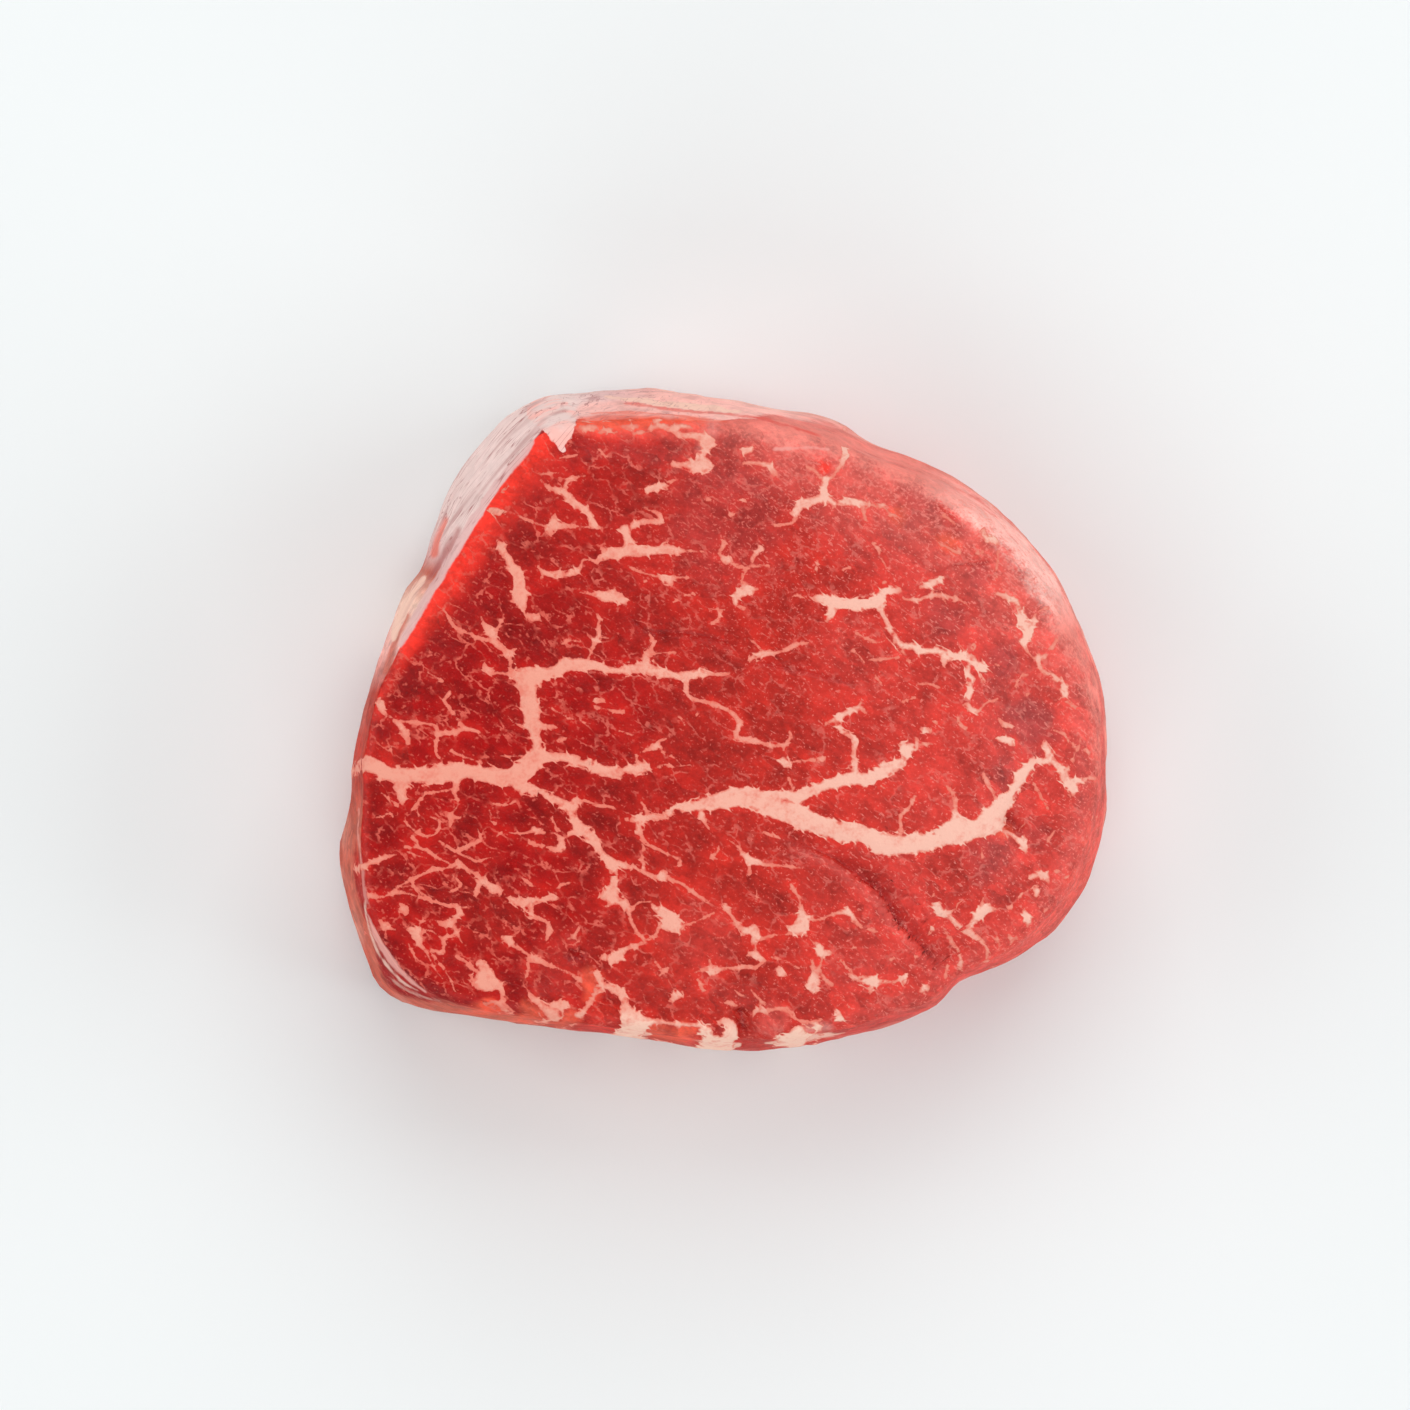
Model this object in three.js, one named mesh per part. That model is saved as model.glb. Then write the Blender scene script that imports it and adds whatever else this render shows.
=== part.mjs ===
// A raw beef fillet steak: one thick slice across the muscle, lying on its broader cut face.
// Millimetres, +Z up, origin at the middle of the flat base. The butcher's upper cut face is the
// top: its rim is crisp on the west, where the silverskin flank leans out below it, and rolls over
// in a soft shoulder on the east. One piece of meat is one solid, so there is one mesh.
import * as THREE from "three";
import { ImprovedNoise } from "three/addons/math/ImprovedNoise.js";
import { mergeVertices } from "three/addons/utils/BufferGeometryUtils.js";

const THICKNESS = 39; // the slice's height at the middle of the upper face
const FOOT_ROUNDING = 2.6; // radius where the wall meets the flat base
const WALL_BULGE = 1.3; // how far the wall swells out between rim and foot
const WALL_LEAN_START = 0.1; // share of the lean between rim and foot that is eased off at each end
const WALL_MIDDLE = [-0.6, 0.03]; // the middle of the steak's box, moved onto the origin

// Mesh lines of the block that is bent into the steak: across each cut face, and down the wall.
const FACE_CELLS = 30;
const EDGE_ROWS = 4;
const FLANK_ROWS = 7;
const FOOT_ROWS = 2;
const WALL_ROWS = EDGE_ROWS + FLANK_ROWS + FOOT_ROWS;

// Outline of the upper cut face, anticlockwise from the east, as a smooth curve through its turns.
const RIM = [
  [44, -5], [42.3, 6.5], [34.9, 19.8], [23.8, 28.4], [5.5, 34.6], [-15.5, 34.9], [-21.6, 33.9],
  [-39.8, 5.5], [-43, -8], [-42.4, -22], [-39.8, -28.2], [-34.6, -32.6], [-17.5, -35.7], [1, -38],
  [9.5, -37.4], [23.6, -33.7], [26.8, -31.2], [38, -23.9], [43.4, -13],
];
const RIM_STEPS = 1440; // points read along the outline's curve

// The lists below give [compass angle in degrees, millimetres], anticlockwise from the east.
// How far the foot of the wall stands out past the rim, furthest where the silverskin flank is.
const LEAN = [
  [0, 1.1], [55, 1.2], [80, 2.3], [92, 3], [105, 4.9], [138, 5.4], [150, 3.7], [166, 2.9],
  [180, 1.2], [189, 1.2], [200, 3.9], [209, 3.3], [217, 4.8], [233, 1.3], [250, 0.8], [305, 0.9],
  [330, 1.3],
];

// The rim's rounding: how wide it is, and how far it drops.
const EDGE_WIDTH = [
  [0, 4], [60, 3.6], [90, 2.4], [120, 1.3], [180, 1.2], [215, 1.6], [270, 2.2], [310, 3], [340, 4],
];
const EDGE_DROP = [
  [0, 5], [60, 4], [90, 2.8], [120, 1.5], [180, 1.4], [215, 2], [270, 2.6], [310, 3.4], [340, 5],
];

// The softer shoulder inside the rim: how far in it begins, and how far it drops by the rim.
const SHOULDER_WIDTH = [
  [0, 14], [45, 13], [80, 8], [110, 5], [150, 7], [200, 5], [270, 6], [315, 9], [340, 13],
];
const SHOULDER_DROP = [
  [0, 4.2], [45, 3.6], [80, 2], [110, 0.9], [150, 1], [200, 0.6], [270, 1], [315, 2.2], [340, 3.8],
];

// Hollows and swellings of the upper face: middle, radius, height (negative is a hollow).
const SWELLINGS = [
  { at: [34.6, -11.5], radius: 4.2, height: -0.9 },
  { at: [38.5, -4], radius: 4.5, height: 0.5 },
  { at: [24.5, -20.5], radius: 6.5, height: -0.6 },
  { at: [8, -24], radius: 13, height: 0.7 },
  { at: [2.3, -35.2], radius: 1.9, height: -1.7 },
  { at: [5.8, -34.6], radius: 2.4, height: 0.6 },
  { at: [-17.9, -25.9], radius: 1.1, height: -0.6 },
  { at: [-3.4, 31.4], radius: 2, height: -0.9 },
  { at: [-20, 5], radius: 17, height: 0.35 },
  { at: [-38, -14], radius: 5, height: -0.35 },
];

// Folds of the upper face. Each is a groove along a route, with the ground raised on its left.
const FOLDS = [
  {
    route: [
      [25.4, -31], [24.3, -28.5], [22.2, -25.7], [20, -24], [18.4, -21.5], [16.8, -19.4],
      [13.6, -17.2], [9.6, -15.2], [5.5, -12.8],
    ],
    groove: 1.3, width: 2.5, raised: 0.8, reach: 6,
  },
  {
    route: [[19.5, 16.2], [23.5, 17], [27, 17], [31, 18.4]],
    groove: 0.6, width: 1.8, raised: 0.25, reach: 4,
  },
  {
    route: [[15.5, 1.9], [10, 3.9], [4.5, 5.4], [0, 7.4]],
    groove: 0.3, width: 1.8, raised: 0.25, reach: 4,
  },
];
const FOLD_START = 0.12; // a fold's strength at the first end of its route, as a share of half a wave
const FOLD_END = 0.92; // and at the last end
const LIP_SHARE = 0.55; // the raised side drops into the groove over this share of the groove's width

// Clefts that run down the wall between muscle lobes: angle and spread in degrees, depth.
const CLEFTS = [
  { angle: 153.4, spread: 2.2, depth: 1.2 },
  { angle: 193.5, spread: 2.4, depth: 0.7 },
  { angle: 213, spread: 2.2, depth: 0.8 },
  { angle: 312.5, spread: 2.4, depth: 1.2 },
  { angle: 62, spread: 5, depth: 0.7 },
];
const FOOT_CLEFT_SHARE = 0.6; // how much of a cleft is left where the foot meets the base

// The unevenness of soft meat: each layer's height, its wavelength and a depth into the noise.
const FACE_UNEVENNESS = [
  { height: 0.35, wave: 11, layer: 3.7 },
  { height: 0.14, wave: 4.5, layer: 9.1 },
];
// On the wall a wave is counted in turns of the noise round the steak, and in millimetres down.
const WALL_UNEVENNESS = [
  { height: 0.7, round: 3.1, down: 17 },
  { height: 0.3, round: 9, down: 9 },
];

const noise = new ImprovedNoise();
const toDegrees = THREE.MathUtils.radToDeg;
const ease = (value) => THREE.MathUtils.smoothstep(value, 0, 1);
const bell = (distance, width) => Math.exp(-((distance / width) ** 2));
const turnOf = (angle) => ((angle % 360) + 360) % 360;

// A list of [angle, value] read at any angle, eased between its entries and joined at 360.
function around(list, angle) {
  const turn = turnOf(angle);
  const next = list.findIndex(([at]) => at > turn);
  const [fromAngle, fromValue] = next < 0 ? list.at(-1) : list[next - 1];
  const [toAngle, toValue] = next < 0 ? [360, list[0][1]] : list[next];
  const share = (turn - fromAngle) / (toAngle - fromAngle);
  return THREE.MathUtils.lerp(fromValue, toValue, ease(share));
}

// A closed outline as a function: its distance from the middle in the direction of an angle.
function outlineRadius(points) {
  const corners = points.map(([x, y]) => new THREE.Vector3(x, y, 0));
  const curve = new THREE.CatmullRomCurve3(corners, true, "centripetal");
  const reading = curve
    .getPoints(RIM_STEPS)
    .map(({ x, y }) => [turnOf(toDegrees(Math.atan2(y, x))), Math.hypot(x, y)])
    .sort((a, b) => a[0] - b[0]);
  return (angle) => {
    const turn = turnOf(angle);
    const next = reading.findIndex(([at]) => at > turn);
    const [afterAngle, afterRadius] = reading[Math.max(next, 0)];
    const [beforeAngle, beforeRadius] = reading.at(Math.max(next, 0) - 1);
    const share = turnOf(turn - beforeAngle) / (turnOf(afterAngle - beforeAngle) || 1);
    return THREE.MathUtils.lerp(beforeRadius, afterRadius, share);
  };
}

const rimRadius = outlineRadius(RIM);
const footRadius = (angle) => rimRadius(angle) + around(LEAN, angle);

// How far a point of the upper face lies from a fold, which side of it (left is positive), and how
// far along the fold it is, from 0 to 1.
function besideFold(route, x, y) {
  let nearest = { distance: Infinity, side: 1, along: 0 };
  route.slice(1).forEach(([endX, endY], leg) => {
    const [startX, startY] = route[leg];
    const run = new THREE.Vector2(endX - startX, endY - startY);
    const to = new THREE.Vector2(x - startX, y - startY);
    const share = THREE.MathUtils.clamp(to.dot(run) / run.lengthSq(), 0, 1);
    const distance = to.clone().addScaledVector(run, -share).length();
    if (distance < nearest.distance)
      nearest = { distance, side: Math.sign(run.cross(to)), along: (leg + share) / (route.length - 1) };
  });
  return nearest;
}

function foldHeight({ route, groove, width, raised, reach }, x, y) {
  const { distance, side, along } = besideFold(route, x, y);
  const strength = Math.sin(Math.PI * THREE.MathUtils.lerp(FOLD_START, FOLD_END, along));
  if (side <= 0) return -strength * groove * bell(distance, width);
  return strength * (raised * bell(distance, reach) - groove * bell(distance, LIP_SHARE * width));
}

// Height of the upper face above or below its even level.
function faceRelief(x, y) {
  let relief = 0;
  for (const { height, wave, layer } of FACE_UNEVENNESS)
    relief += height * noise.noise(x / wave, y / wave, layer);
  for (const { at, radius, height } of SWELLINGS)
    relief += height * bell(Math.hypot(x - at[0], y - at[1]), radius);
  for (const fold of FOLDS) relief += foldHeight(fold, x, y);
  return relief;
}

// Height of the upper face at a share (0 to 1) of the way from its middle to its rounded edge.
function faceHeight(angle, share, x, y) {
  const fromEdge = (1 - share) * rimRadius(angle);
  const shoulder = around(SHOULDER_DROP, angle) * (1 - ease(fromEdge / around(SHOULDER_WIDTH, angle)));
  return THICKNESS - shoulder + faceRelief(x, y);
}

// How far clefts and unevenness move the wall out or in.
function wallRelief(angle, z) {
  const radians = THREE.MathUtils.degToRad(angle);
  let relief = 0;
  for (const { angle: at, spread, depth } of CLEFTS)
    relief -= depth * bell(Math.abs(turnOf(angle - at + 180) - 180), spread);
  for (const { height, round, down } of WALL_UNEVENNESS)
    relief += height * noise.noise(round * Math.cos(radians), round * Math.sin(radians), z / down);
  return relief;
}

// One point of the wall, by its angle and its row: row 0 is the face's edge, the last the base's.
function wallPoint(angle, row) {
  const radians = THREE.MathUtils.degToRad(angle);
  const outward = new THREE.Vector3(Math.cos(radians), Math.sin(radians), 0);
  const edgeWidth = around(EDGE_WIDTH, angle);
  const edgeDrop = around(EDGE_DROP, angle);
  const inner = rimRadius(angle) - edgeWidth;
  const top = faceHeight(angle, 1, inner * outward.x, inner * outward.y);
  let radius;
  let z;
  if (row <= EDGE_ROWS) {
    const turn = ((row / EDGE_ROWS) * Math.PI) / 2;
    radius = inner + edgeWidth * Math.sin(turn);
    z = top - edgeDrop * (1 - Math.cos(turn));
  } else if (row <= EDGE_ROWS + FLANK_ROWS) {
    const down = (row - EDGE_ROWS) / FLANK_ROWS;
    const lean = ease(THREE.MathUtils.lerp(WALL_LEAN_START, 1 - WALL_LEAN_START, down));
    radius = THREE.MathUtils.lerp(rimRadius(angle), footRadius(angle), lean);
    radius += WALL_BULGE * Math.sin(Math.PI * down);
    z = THREE.MathUtils.lerp(top - edgeDrop, FOOT_ROUNDING, down);
  } else {
    const turn = (((row - EDGE_ROWS - FLANK_ROWS) / FOOT_ROWS) * Math.PI) / 2;
    radius = footRadius(angle) - FOOT_ROUNDING * (1 - Math.cos(turn));
    z = FOOT_ROUNDING * (1 - Math.sin(turn));
  }
  const reliefShare = ease((row - 1) / EDGE_ROWS) * (row < WALL_ROWS ? 1 : FOOT_CLEFT_SHARE);
  radius += reliefShare * wallRelief(angle, z);
  return outward.multiplyScalar(radius).setZ(z);
}

// The square of a block's end, spread over a disc: its rings run from the middle out to the edge.
function squareToDisc(x, y) {
  return new THREE.Vector2(x * Math.sqrt(1 - (y * y) / 2), y * Math.sqrt(1 - (x * x) / 2));
}

// Where a point of the block's surface (each coordinate from -1 to 1) lies on the steak.
function steakPoint(block) {
  const disc = squareToDisc(block.x, block.y);
  const angle = toDegrees(Math.atan2(disc.y, disc.x));
  const share = Math.min(disc.length(), 1);
  const onWall = Math.max(Math.abs(block.x), Math.abs(block.y)) === 1;
  if (onWall) return wallPoint(angle, Math.round(((1 - block.z) / 2) * WALL_ROWS));
  if (block.z < 0) return wallPoint(angle, WALL_ROWS).multiply(new THREE.Vector3(share, share, 0));
  const { x, y } = wallPoint(angle, 0).multiplyScalar(share);
  return new THREE.Vector3(x, y, faceHeight(angle, share, x, y));
}

function steakGeometry() {
  const block = new THREE.BoxGeometry(2, 2, 2, FACE_CELLS, FACE_CELLS, WALL_ROWS);
  block.deleteAttribute("normal");
  block.deleteAttribute("uv");
  const geometry = mergeVertices(block);
  const places = geometry.getAttribute("position");
  const point = new THREE.Vector3();
  for (let i = 0; i < places.count; i += 1) {
    const { x, y, z } = steakPoint(point.fromBufferAttribute(places, i));
    places.setXYZ(i, x - WALL_MIDDLE[0], y - WALL_MIDDLE[1], z);
  }
  geometry.computeVertexNormals();
  return geometry;
}

const rawBeef = new THREE.MeshStandardMaterial({ color: 0xb3241f, roughness: 0.38, metalness: 0 });
const steak = new THREE.Mesh(steakGeometry(), rawBeef);
steak.name = "steak";

const part = new THREE.Group();
part.add(steak);

export default part;
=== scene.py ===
# %% [markdown]
# # A raw beef fillet steak
# One thick slice across the muscle: deep red lean, marbled with pale fat, a crisp cut rim on the
# west with shining silverskin below it, and a soft pink shoulder on the east.
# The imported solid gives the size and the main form. Everything finer is made here: the seams of
# fat, the folds, the wet grain of the cut and the skin on the flank.
# Places on the cut face are given in millimetres on the butcher's drawing of it, whose middle is
# a hair away from the middle of the solid's box.

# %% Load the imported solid
import math
import bmesh
import bpy
import numpy as np
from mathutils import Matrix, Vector, noise


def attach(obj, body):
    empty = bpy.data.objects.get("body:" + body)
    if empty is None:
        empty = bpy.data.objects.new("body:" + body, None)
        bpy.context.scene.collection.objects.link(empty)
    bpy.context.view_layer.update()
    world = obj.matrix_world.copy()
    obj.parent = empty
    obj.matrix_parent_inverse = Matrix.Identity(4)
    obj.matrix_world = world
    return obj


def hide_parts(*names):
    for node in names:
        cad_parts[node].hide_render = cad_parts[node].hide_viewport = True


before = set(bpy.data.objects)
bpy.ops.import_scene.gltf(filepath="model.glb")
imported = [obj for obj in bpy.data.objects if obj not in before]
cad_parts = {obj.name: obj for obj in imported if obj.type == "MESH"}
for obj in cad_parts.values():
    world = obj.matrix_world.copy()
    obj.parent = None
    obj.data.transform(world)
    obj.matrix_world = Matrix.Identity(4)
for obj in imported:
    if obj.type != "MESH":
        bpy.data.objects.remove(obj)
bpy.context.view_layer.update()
MM = 0.001  # metres
DRAWING_MIDDLE = np.array([-0.6, 0.03])  # the middle of the solid's box, on the drawing
THICKNESS = 39.0  # mm from one cut face to the other

# %% [markdown]
# ## Blank
# The solid's mesh is coarse triangles. A copy is welded, its triangles are joined to four-sided
# faces, and one level of Subdivision Surface rounds it. The fine work comes later, only where
# the seams of fat need it: an even mesh as fine as that would be ten times heavier.

# %% Round the blank
WELD = 0.01 * MM
FLAT_ENOUGH = math.radians(40)  # between two triangles that become one face
SQUARE_ENOUGH = math.radians(60)  # off the square, at that face's corners


def new_object(name, data):
    """An object with its data, in the scene."""
    thing = bpy.data.objects.new(name, data)
    bpy.context.scene.collection.objects.link(thing)
    return thing


blank = bmesh.new()
blank.from_mesh(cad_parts["steak"].data)
bmesh.ops.remove_doubles(blank, verts=blank.verts, dist=WELD)
bmesh.ops.join_triangles(
    blank, faces=blank.faces, angle_face_threshold=FLAT_ENOUGH, angle_shape_threshold=SQUARE_ENOUGH
)
beef = new_object("beef_steak", bpy.data.meshes.new("beef_steak"))
blank.to_mesh(beef.data)
blank.free()
rounding = beef.modifiers.new("rounding", "SUBSURF")
rounding.levels = rounding.render_levels = 1
depsgraph = bpy.context.evaluated_depsgraph_get()
rounded = bpy.data.meshes.new_from_object(beef.evaluated_get(depsgraph))
beef.modifiers.clear()
print("blank:", len(beef.data.polygons), "faces, rounded:", len(rounded.polygons))

# %% [markdown]
# ## Seams of fat
# Fat runs through the muscle in sheets, and the cut shows their edges as branching seams. Noise
# alone never branches like that, so each seam is listed: a route of points, each with its
# width. Any place on the face can then ask how far it is from the nearest border of fat.

# %% Seams of the west: the trunk from the rim, its riser and the cells round them
WEST_TRUNK = [
    [(-42.7, -5.2, 2.0), (-41, -5.8, 1.9), (-39.5, -6.6, 1.8), (-36, -6.8, 1.8), (-32.2, -6.5, 2.1),
     (-30, -6.3, 1.6), (-27, -6.9, 2.0), (-24.8, -6.8, 2.3), (-23, -5.5, 2.4)],
    [(-38.2, -8.2, 1.7), (-38, -9.2, 1.0), (-38, -10, 0.3)],
    [(-31.8, -7.6, 0.6), (-31.9, -8.8, 0.5), (-31.5, -10.1, 0.3), (-32.4, -11.4, 0.3)],
    [(-31.8, -8.4, 0.3), (-33, -8.5, 0.3), (-35.3, -8.9, 0.25)],
    [(-22.2, -4.6, 1.6), (-22.3, -3, 1.2), (-22.5, -1.6, 1.5), (-22.9, 0, 2.0), (-23.3, 3, 2.1),
     (-23.6, 4.4, 2.6)],
    [(-22, -0.9, 0.8), (-20.1, -1.15, 0.3)],
]
WEST_CELLS = [
    [(-40.6, 1.6, 0.9), (-40.4, 0.8, 0.7), (-39.4, 0, 0.4), (-38.2, -0.9, 0.9), (-37.6, -2, 0.5),
     (-37.3, -3, 0.3)],
    [(-38.3, -0.4, 0.3), (-36, -0.6, 0.35), (-34.4, -0.8, 0.35), (-33.9, -1.7, 0.5), (-34.1, -3.8, 0.3),
     (-33.6, -4.7, 0.2)],
    [(-33.7, -1.8, 0.5), (-31.8, -1.7, 0.5), (-30.7, -1.3, 0.5), (-29.2, -1.6, 0.4)],
    [(-30.9, -1.2, 0.3), (-31.7, 0, 0.3), (-32.5, 1.2, 0.3), (-33.1, 2, 0.4), (-32.5, 2.9, 0.6)],
    [(-35, 5.3, 0.2), (-33.4, 4.3, 0.3)],
    [(-39.4, -3.6, 0.4), (-39.2, -3.8, 0.3)],
    [(-32.3, -3.9, 0.4), (-31, -4.5, 0.3), (-28.6, -5.3, 0.2)],
    [(-26.5, -4.5, 0.3), (-24, -4.5, 0.3)],
    [(-25.7, 0.3, 0.3), (-25, -0.5, 0.35), (-23.9, -1, 0.3)],
]

# %% Seams of the north branch, over the largest red cell
NORTH_BRANCH = [
    [(-23.6, 4.9, 2.2), (-21.8, 5.1, 1.6), (-20, 5.5, 1.4), (-18.3, 6.3, 1.5), (-16.6, 6.3, 1.4),
     (-15, 5.95, 0.9), (-13, 5.5, 0.8), (-11, 5.7, 1.1), (-9.6, 5.9, 1.4), (-8, 5.3, 1.0),
     (-6.5, 4.95, 0.95), (-5, 4.9, 1.1), (-3.3, 5.15, 0.9), (-1.5, 5.1, 0.5), (0.5, 5.3, 0.25)],
    [(-24.5, 5.1, 0.6), (-26.5, 5.2, 0.4), (-28, 5.5, 0.7), (-28.5, 6.3, 0.3)],
    [(-25.3, 5.2, 0.4), (-25.4, 6.5, 0.35), (-25.5, 7.4, 0.8), (-24.7, 8.1, 0.3)],
    [(-25.6, 7.4, 0.6), (-26.5, 8.2, 0.5), (-27.2, 8.9, 0.7), (-27.5, 9.8, 0.9), (-28.3, 10.8, 0.5),
     (-28.8, 11.8, 0.2)],
    [(-27.4, 10, 0.5), (-26.8, 10.6, 0.4), (-26.5, 11.4, 0.4)],
    [(-27.4, 9.1, 0.4), (-28.5, 9.2, 0.4), (-29.5, 9.4, 0.4), (-30.3, 9.9, 0.3), (-31.2, 10.2, 0.35),
     (-32, 10.8, 0.3), (-33.1, 12.6, 0.2)],
    [(-9.4, 6.6, 0.8), (-9.5, 7.3, 0.5), (-9.3, 7.7, 0.5), (-8, 7.6, 0.3), (-6, 7.6, 0.2)],
    [(-9, 8, 0.4), (-8.6, 8.6, 0.5), (-8.9, 9.4, 0.4), (-9.5, 10.6, 0.2)],
    [(-16.2, 6.9, 0.3), (-15.9, 7.8, 0.4), (-15.6, 8.6, 0.7), (-15.2, 9.3, 0.8), (-15, 10, 0.6),
     (-15.1, 11, 0.3), (-14.9, 11.6, 0.5), (-15.2, 12.2, 0.2)],
    [(-14.6, 9.5, 0.5), (-13.9, 9.3, 0.2)],
    [(-17.3, 8.9, 0.25), (-18.3, 9.1, 0.25), (-19.3, 8.7, 0.3)],
    [(-4.8, 4.5, 0.7), (-4.7, 2.9, 0.5), (-4.3, 2.4, 0.5), (-3.2, 2, 0.35), (-2, 1.7, 0.35),
     (-1, 1.3, 0.45), (0, 0.9, 0.4), (1.2, -0.3, 0.5), (1.4, -0.9, 0.6), (1.1, -1.6, 0.5),
     (1.1, -2.3, 0.5), (3, -2.6, 0.5), (5, -3.2, 0.5), (6.6, -3.2, 0.4), (7.3, -2.4, 0.4),
     (7.3, -1.7, 0.3)],
    [(6.6, -3.2, 0.3), (6.6, -3.8, 0.25)],
]
BIG_CELL = [
    [(-22.6, -4.7, 1.8), (-20.5, -4.55, 1.15), (-18, -4.85, 1.1), (-16.2, -5.4, 1.05),
     (-14.4, -6.25, 1.6), (-12.6, -6.35, 1.15), (-11, -6, 1.3), (-9.8, -5.8, 1.2), (-8.2, -5.7, 0.6),
     (-6.5, -5.6, 0.4), (-4.5, -5.6, 0.25)],
    [(-10.4, -5.2, 0.6), (-10.7, -4.4, 0.4), (-10.9, -3.9, 0.25)],
    [(-9.8, -3.9, 0.3), (-9, -3.6, 0.4), (-8.4, -3.4, 0.7), (-7.9, -2.7, 0.5), (-7.2, -2.5, 0.35)],
    [(-7.6, -4, 0.25), (-6.4, -4.6, 0.25), (-5.8, -5, 0.2)],
    [(-12.6, -1.5, 0.3), (-11.2, -2, 0.4)],
    [(-15.2, 2, 0.6), (-14.5, 2, 0.3)],
    [(-15.4, 1.2, 0.3), (-14, 1, 0.2), (-13, 0.65, 0.35), (-12.2, 0.7, 0.4)],
    [(-5.6, 0.2, 0.2), (-5, -0.8, 0.25)],
    [(-3.6, 0.3, 0.4), (-3.4, 0.5, 0.3)],
    [(-19.7, -2.6, 0.3), (-19, -2.5, 0.3)],
    [(-22, 1.3, 0.12), (-20.5, 1.1, 0.12), (-18.4, -0.1, 0.12), (-16, -0.7, 0.12)],
]

# %% Seams that fall to the south from the west trunk
SOUTH_FALL = [
    [(-24.5, -7.9, 1.4), (-23, -8.5, 0.9), (-21, -9.2, 0.9), (-19.3, -9.9, 1.0), (-18.2, -10.5, 1.1),
     (-17.9, -11.8, 0.9), (-17.2, -12.9, 1.3), (-16.5, -13.4, 1.2), (-15.7, -14.3, 1.0),
     (-15, -15.4, 0.7), (-14, -16.4, 1.0), (-13.5, -17, 1.2), (-13.3, -17.9, 0.9), (-13.4, -19.7, 0.9),
     (-13.5, -20.5, 1.6), (-13.7, -21, 1.9), (-12.9, -21.3, 1.1), (-11.7, -22.3, 0.6),
     (-11.1, -24.1, 0.6), (-10.2, -25.4, 0.4), (-9.7, -26, 0.6)],
    [(-14.4, -20.9, 1.0), (-14.5, -20.3, 0.3)],
    [(-18, -9.7, 0.7), (-17, -9.6, 0.45), (-15, -10.2, 0.35), (-13.2, -10.5, 0.3)],
    [(-18.4, -13.5, 0.6), (-17.2, -13.2, 0.8)],
    [(-12.6, -17, 0.8), (-12, -17.4, 0.7), (-11, -17.5, 0.5), (-9.9, -17.4, 0.8), (-9.6, -18, 0.5),
     (-8.2, -18.7, 0.6), (-7.6, -18.6, 0.9), (-7.2, -18.2, 0.4)],
    [(-7, -18.8, 0.35), (-5.3, -19.4, 0.4), (-4, -20.4, 0.4), (-2.2, -21.5, 0.25)],
    [(-10, -16.6, 0.4), (-9.7, -15.3, 0.2), (-9.4, -14.9, 0.25)],
]

# %% Seams of the east trunk, the broadest of the face
EAST_TRUNK = [
    [(-11.8, -11.9, 0.5), (-10.6, -11.9, 0.9), (-9, -11.6, 0.65), (-7.4, -11.5, 0.6), (-6, -10.8, 0.95),
     (-4.6, -10.5, 1.1), (-3, -10.2, 1.5), (-1.5, -9.9, 1.8), (0, -9.5, 2.4), (2, -9.2, 2.2),
     (4, -9.7, 2.5), (5, -10.1, 2.7), (6, -10.8, 2.4), (8, -11.3, 2.6), (9, -11.9, 2.6),
     (10, -12.2, 2.4), (12, -13, 2.2), (14, -13.4, 2.2), (16, -13.6, 2.0), (17, -14.2, 1.9),
     (18, -14.8, 2.4), (20, -14.9, 2.4), (22, -14.7, 2.3), (24, -14.4, 1.8), (25, -14.1, 1.8),
     (26, -13.5, 2.9), (27, -13.2, 3.2), (28, -13.3, 2.7), (29, -13, 2.3), (30, -12.7, 2.6),
     (31, -12, 3.3), (31.8, -11, 2.4), (32.6, -9.8, 1.4), (33.2, -9.2, 0.9), (33.6, -8.3, 1.0),
     (34.2, -7.4, 1.6), (34.6, -6.6, 1.6), (35.5, -5.8, 0.9), (36, -5.2, 0.7), (37.7, -4.9, 1.1),
     (37.4, -3.5, 0.7), (37.1, -2.9, 0.3)],
    [(-10.4, -12.1, 1.0), (-10.4, -12.9, 0.7), (-9.7, -14.3, 0.4), (-8.4, -15.3, 0.35),
     (-6.8, -16, 0.25), (-5.6, -16.6, 0.5), (-5.6, -17.2, 0.4)],
    [(-3, -11.2, 0.9), (-2.7, -12.2, 0.4), (-2.2, -12.9, 0.2)],
    [(-9.3, -11.3, 0.35), (-10, -9.8, 0.2)],
    [(7.7, -8.2, 0.5), (7.4, -7.6, 0.3), (7.2, -7, 0.15)],
    [(20.3, -13.4, 0.4), (20.3, -11.6, 0.3), (20.6, -11.1, 0.5), (21.3, -10.4, 0.35), (22, -9.2, 0.5)],
    [(26.6, -11.8, 1.2), (26.7, -11, 0.6), (26.7, -9.3, 0.35), (25.7, -8, 0.25)],
    [(31.8, -10, 0.7), (31.3, -9.2, 0.4), (30.4, -7.4, 0.4), (30.1, -6.6, 0.35)],
    [(32.3, -13.3, 0.3), (33, -13.5, 0.6), (34.3, -14.4, 0.9), (34.8, -15, 0.8), (35.1, -16.2, 0.15)],
    [(34.3, -13.5, 0.4), (34.9, -12.5, 0.2)],
]
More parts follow.
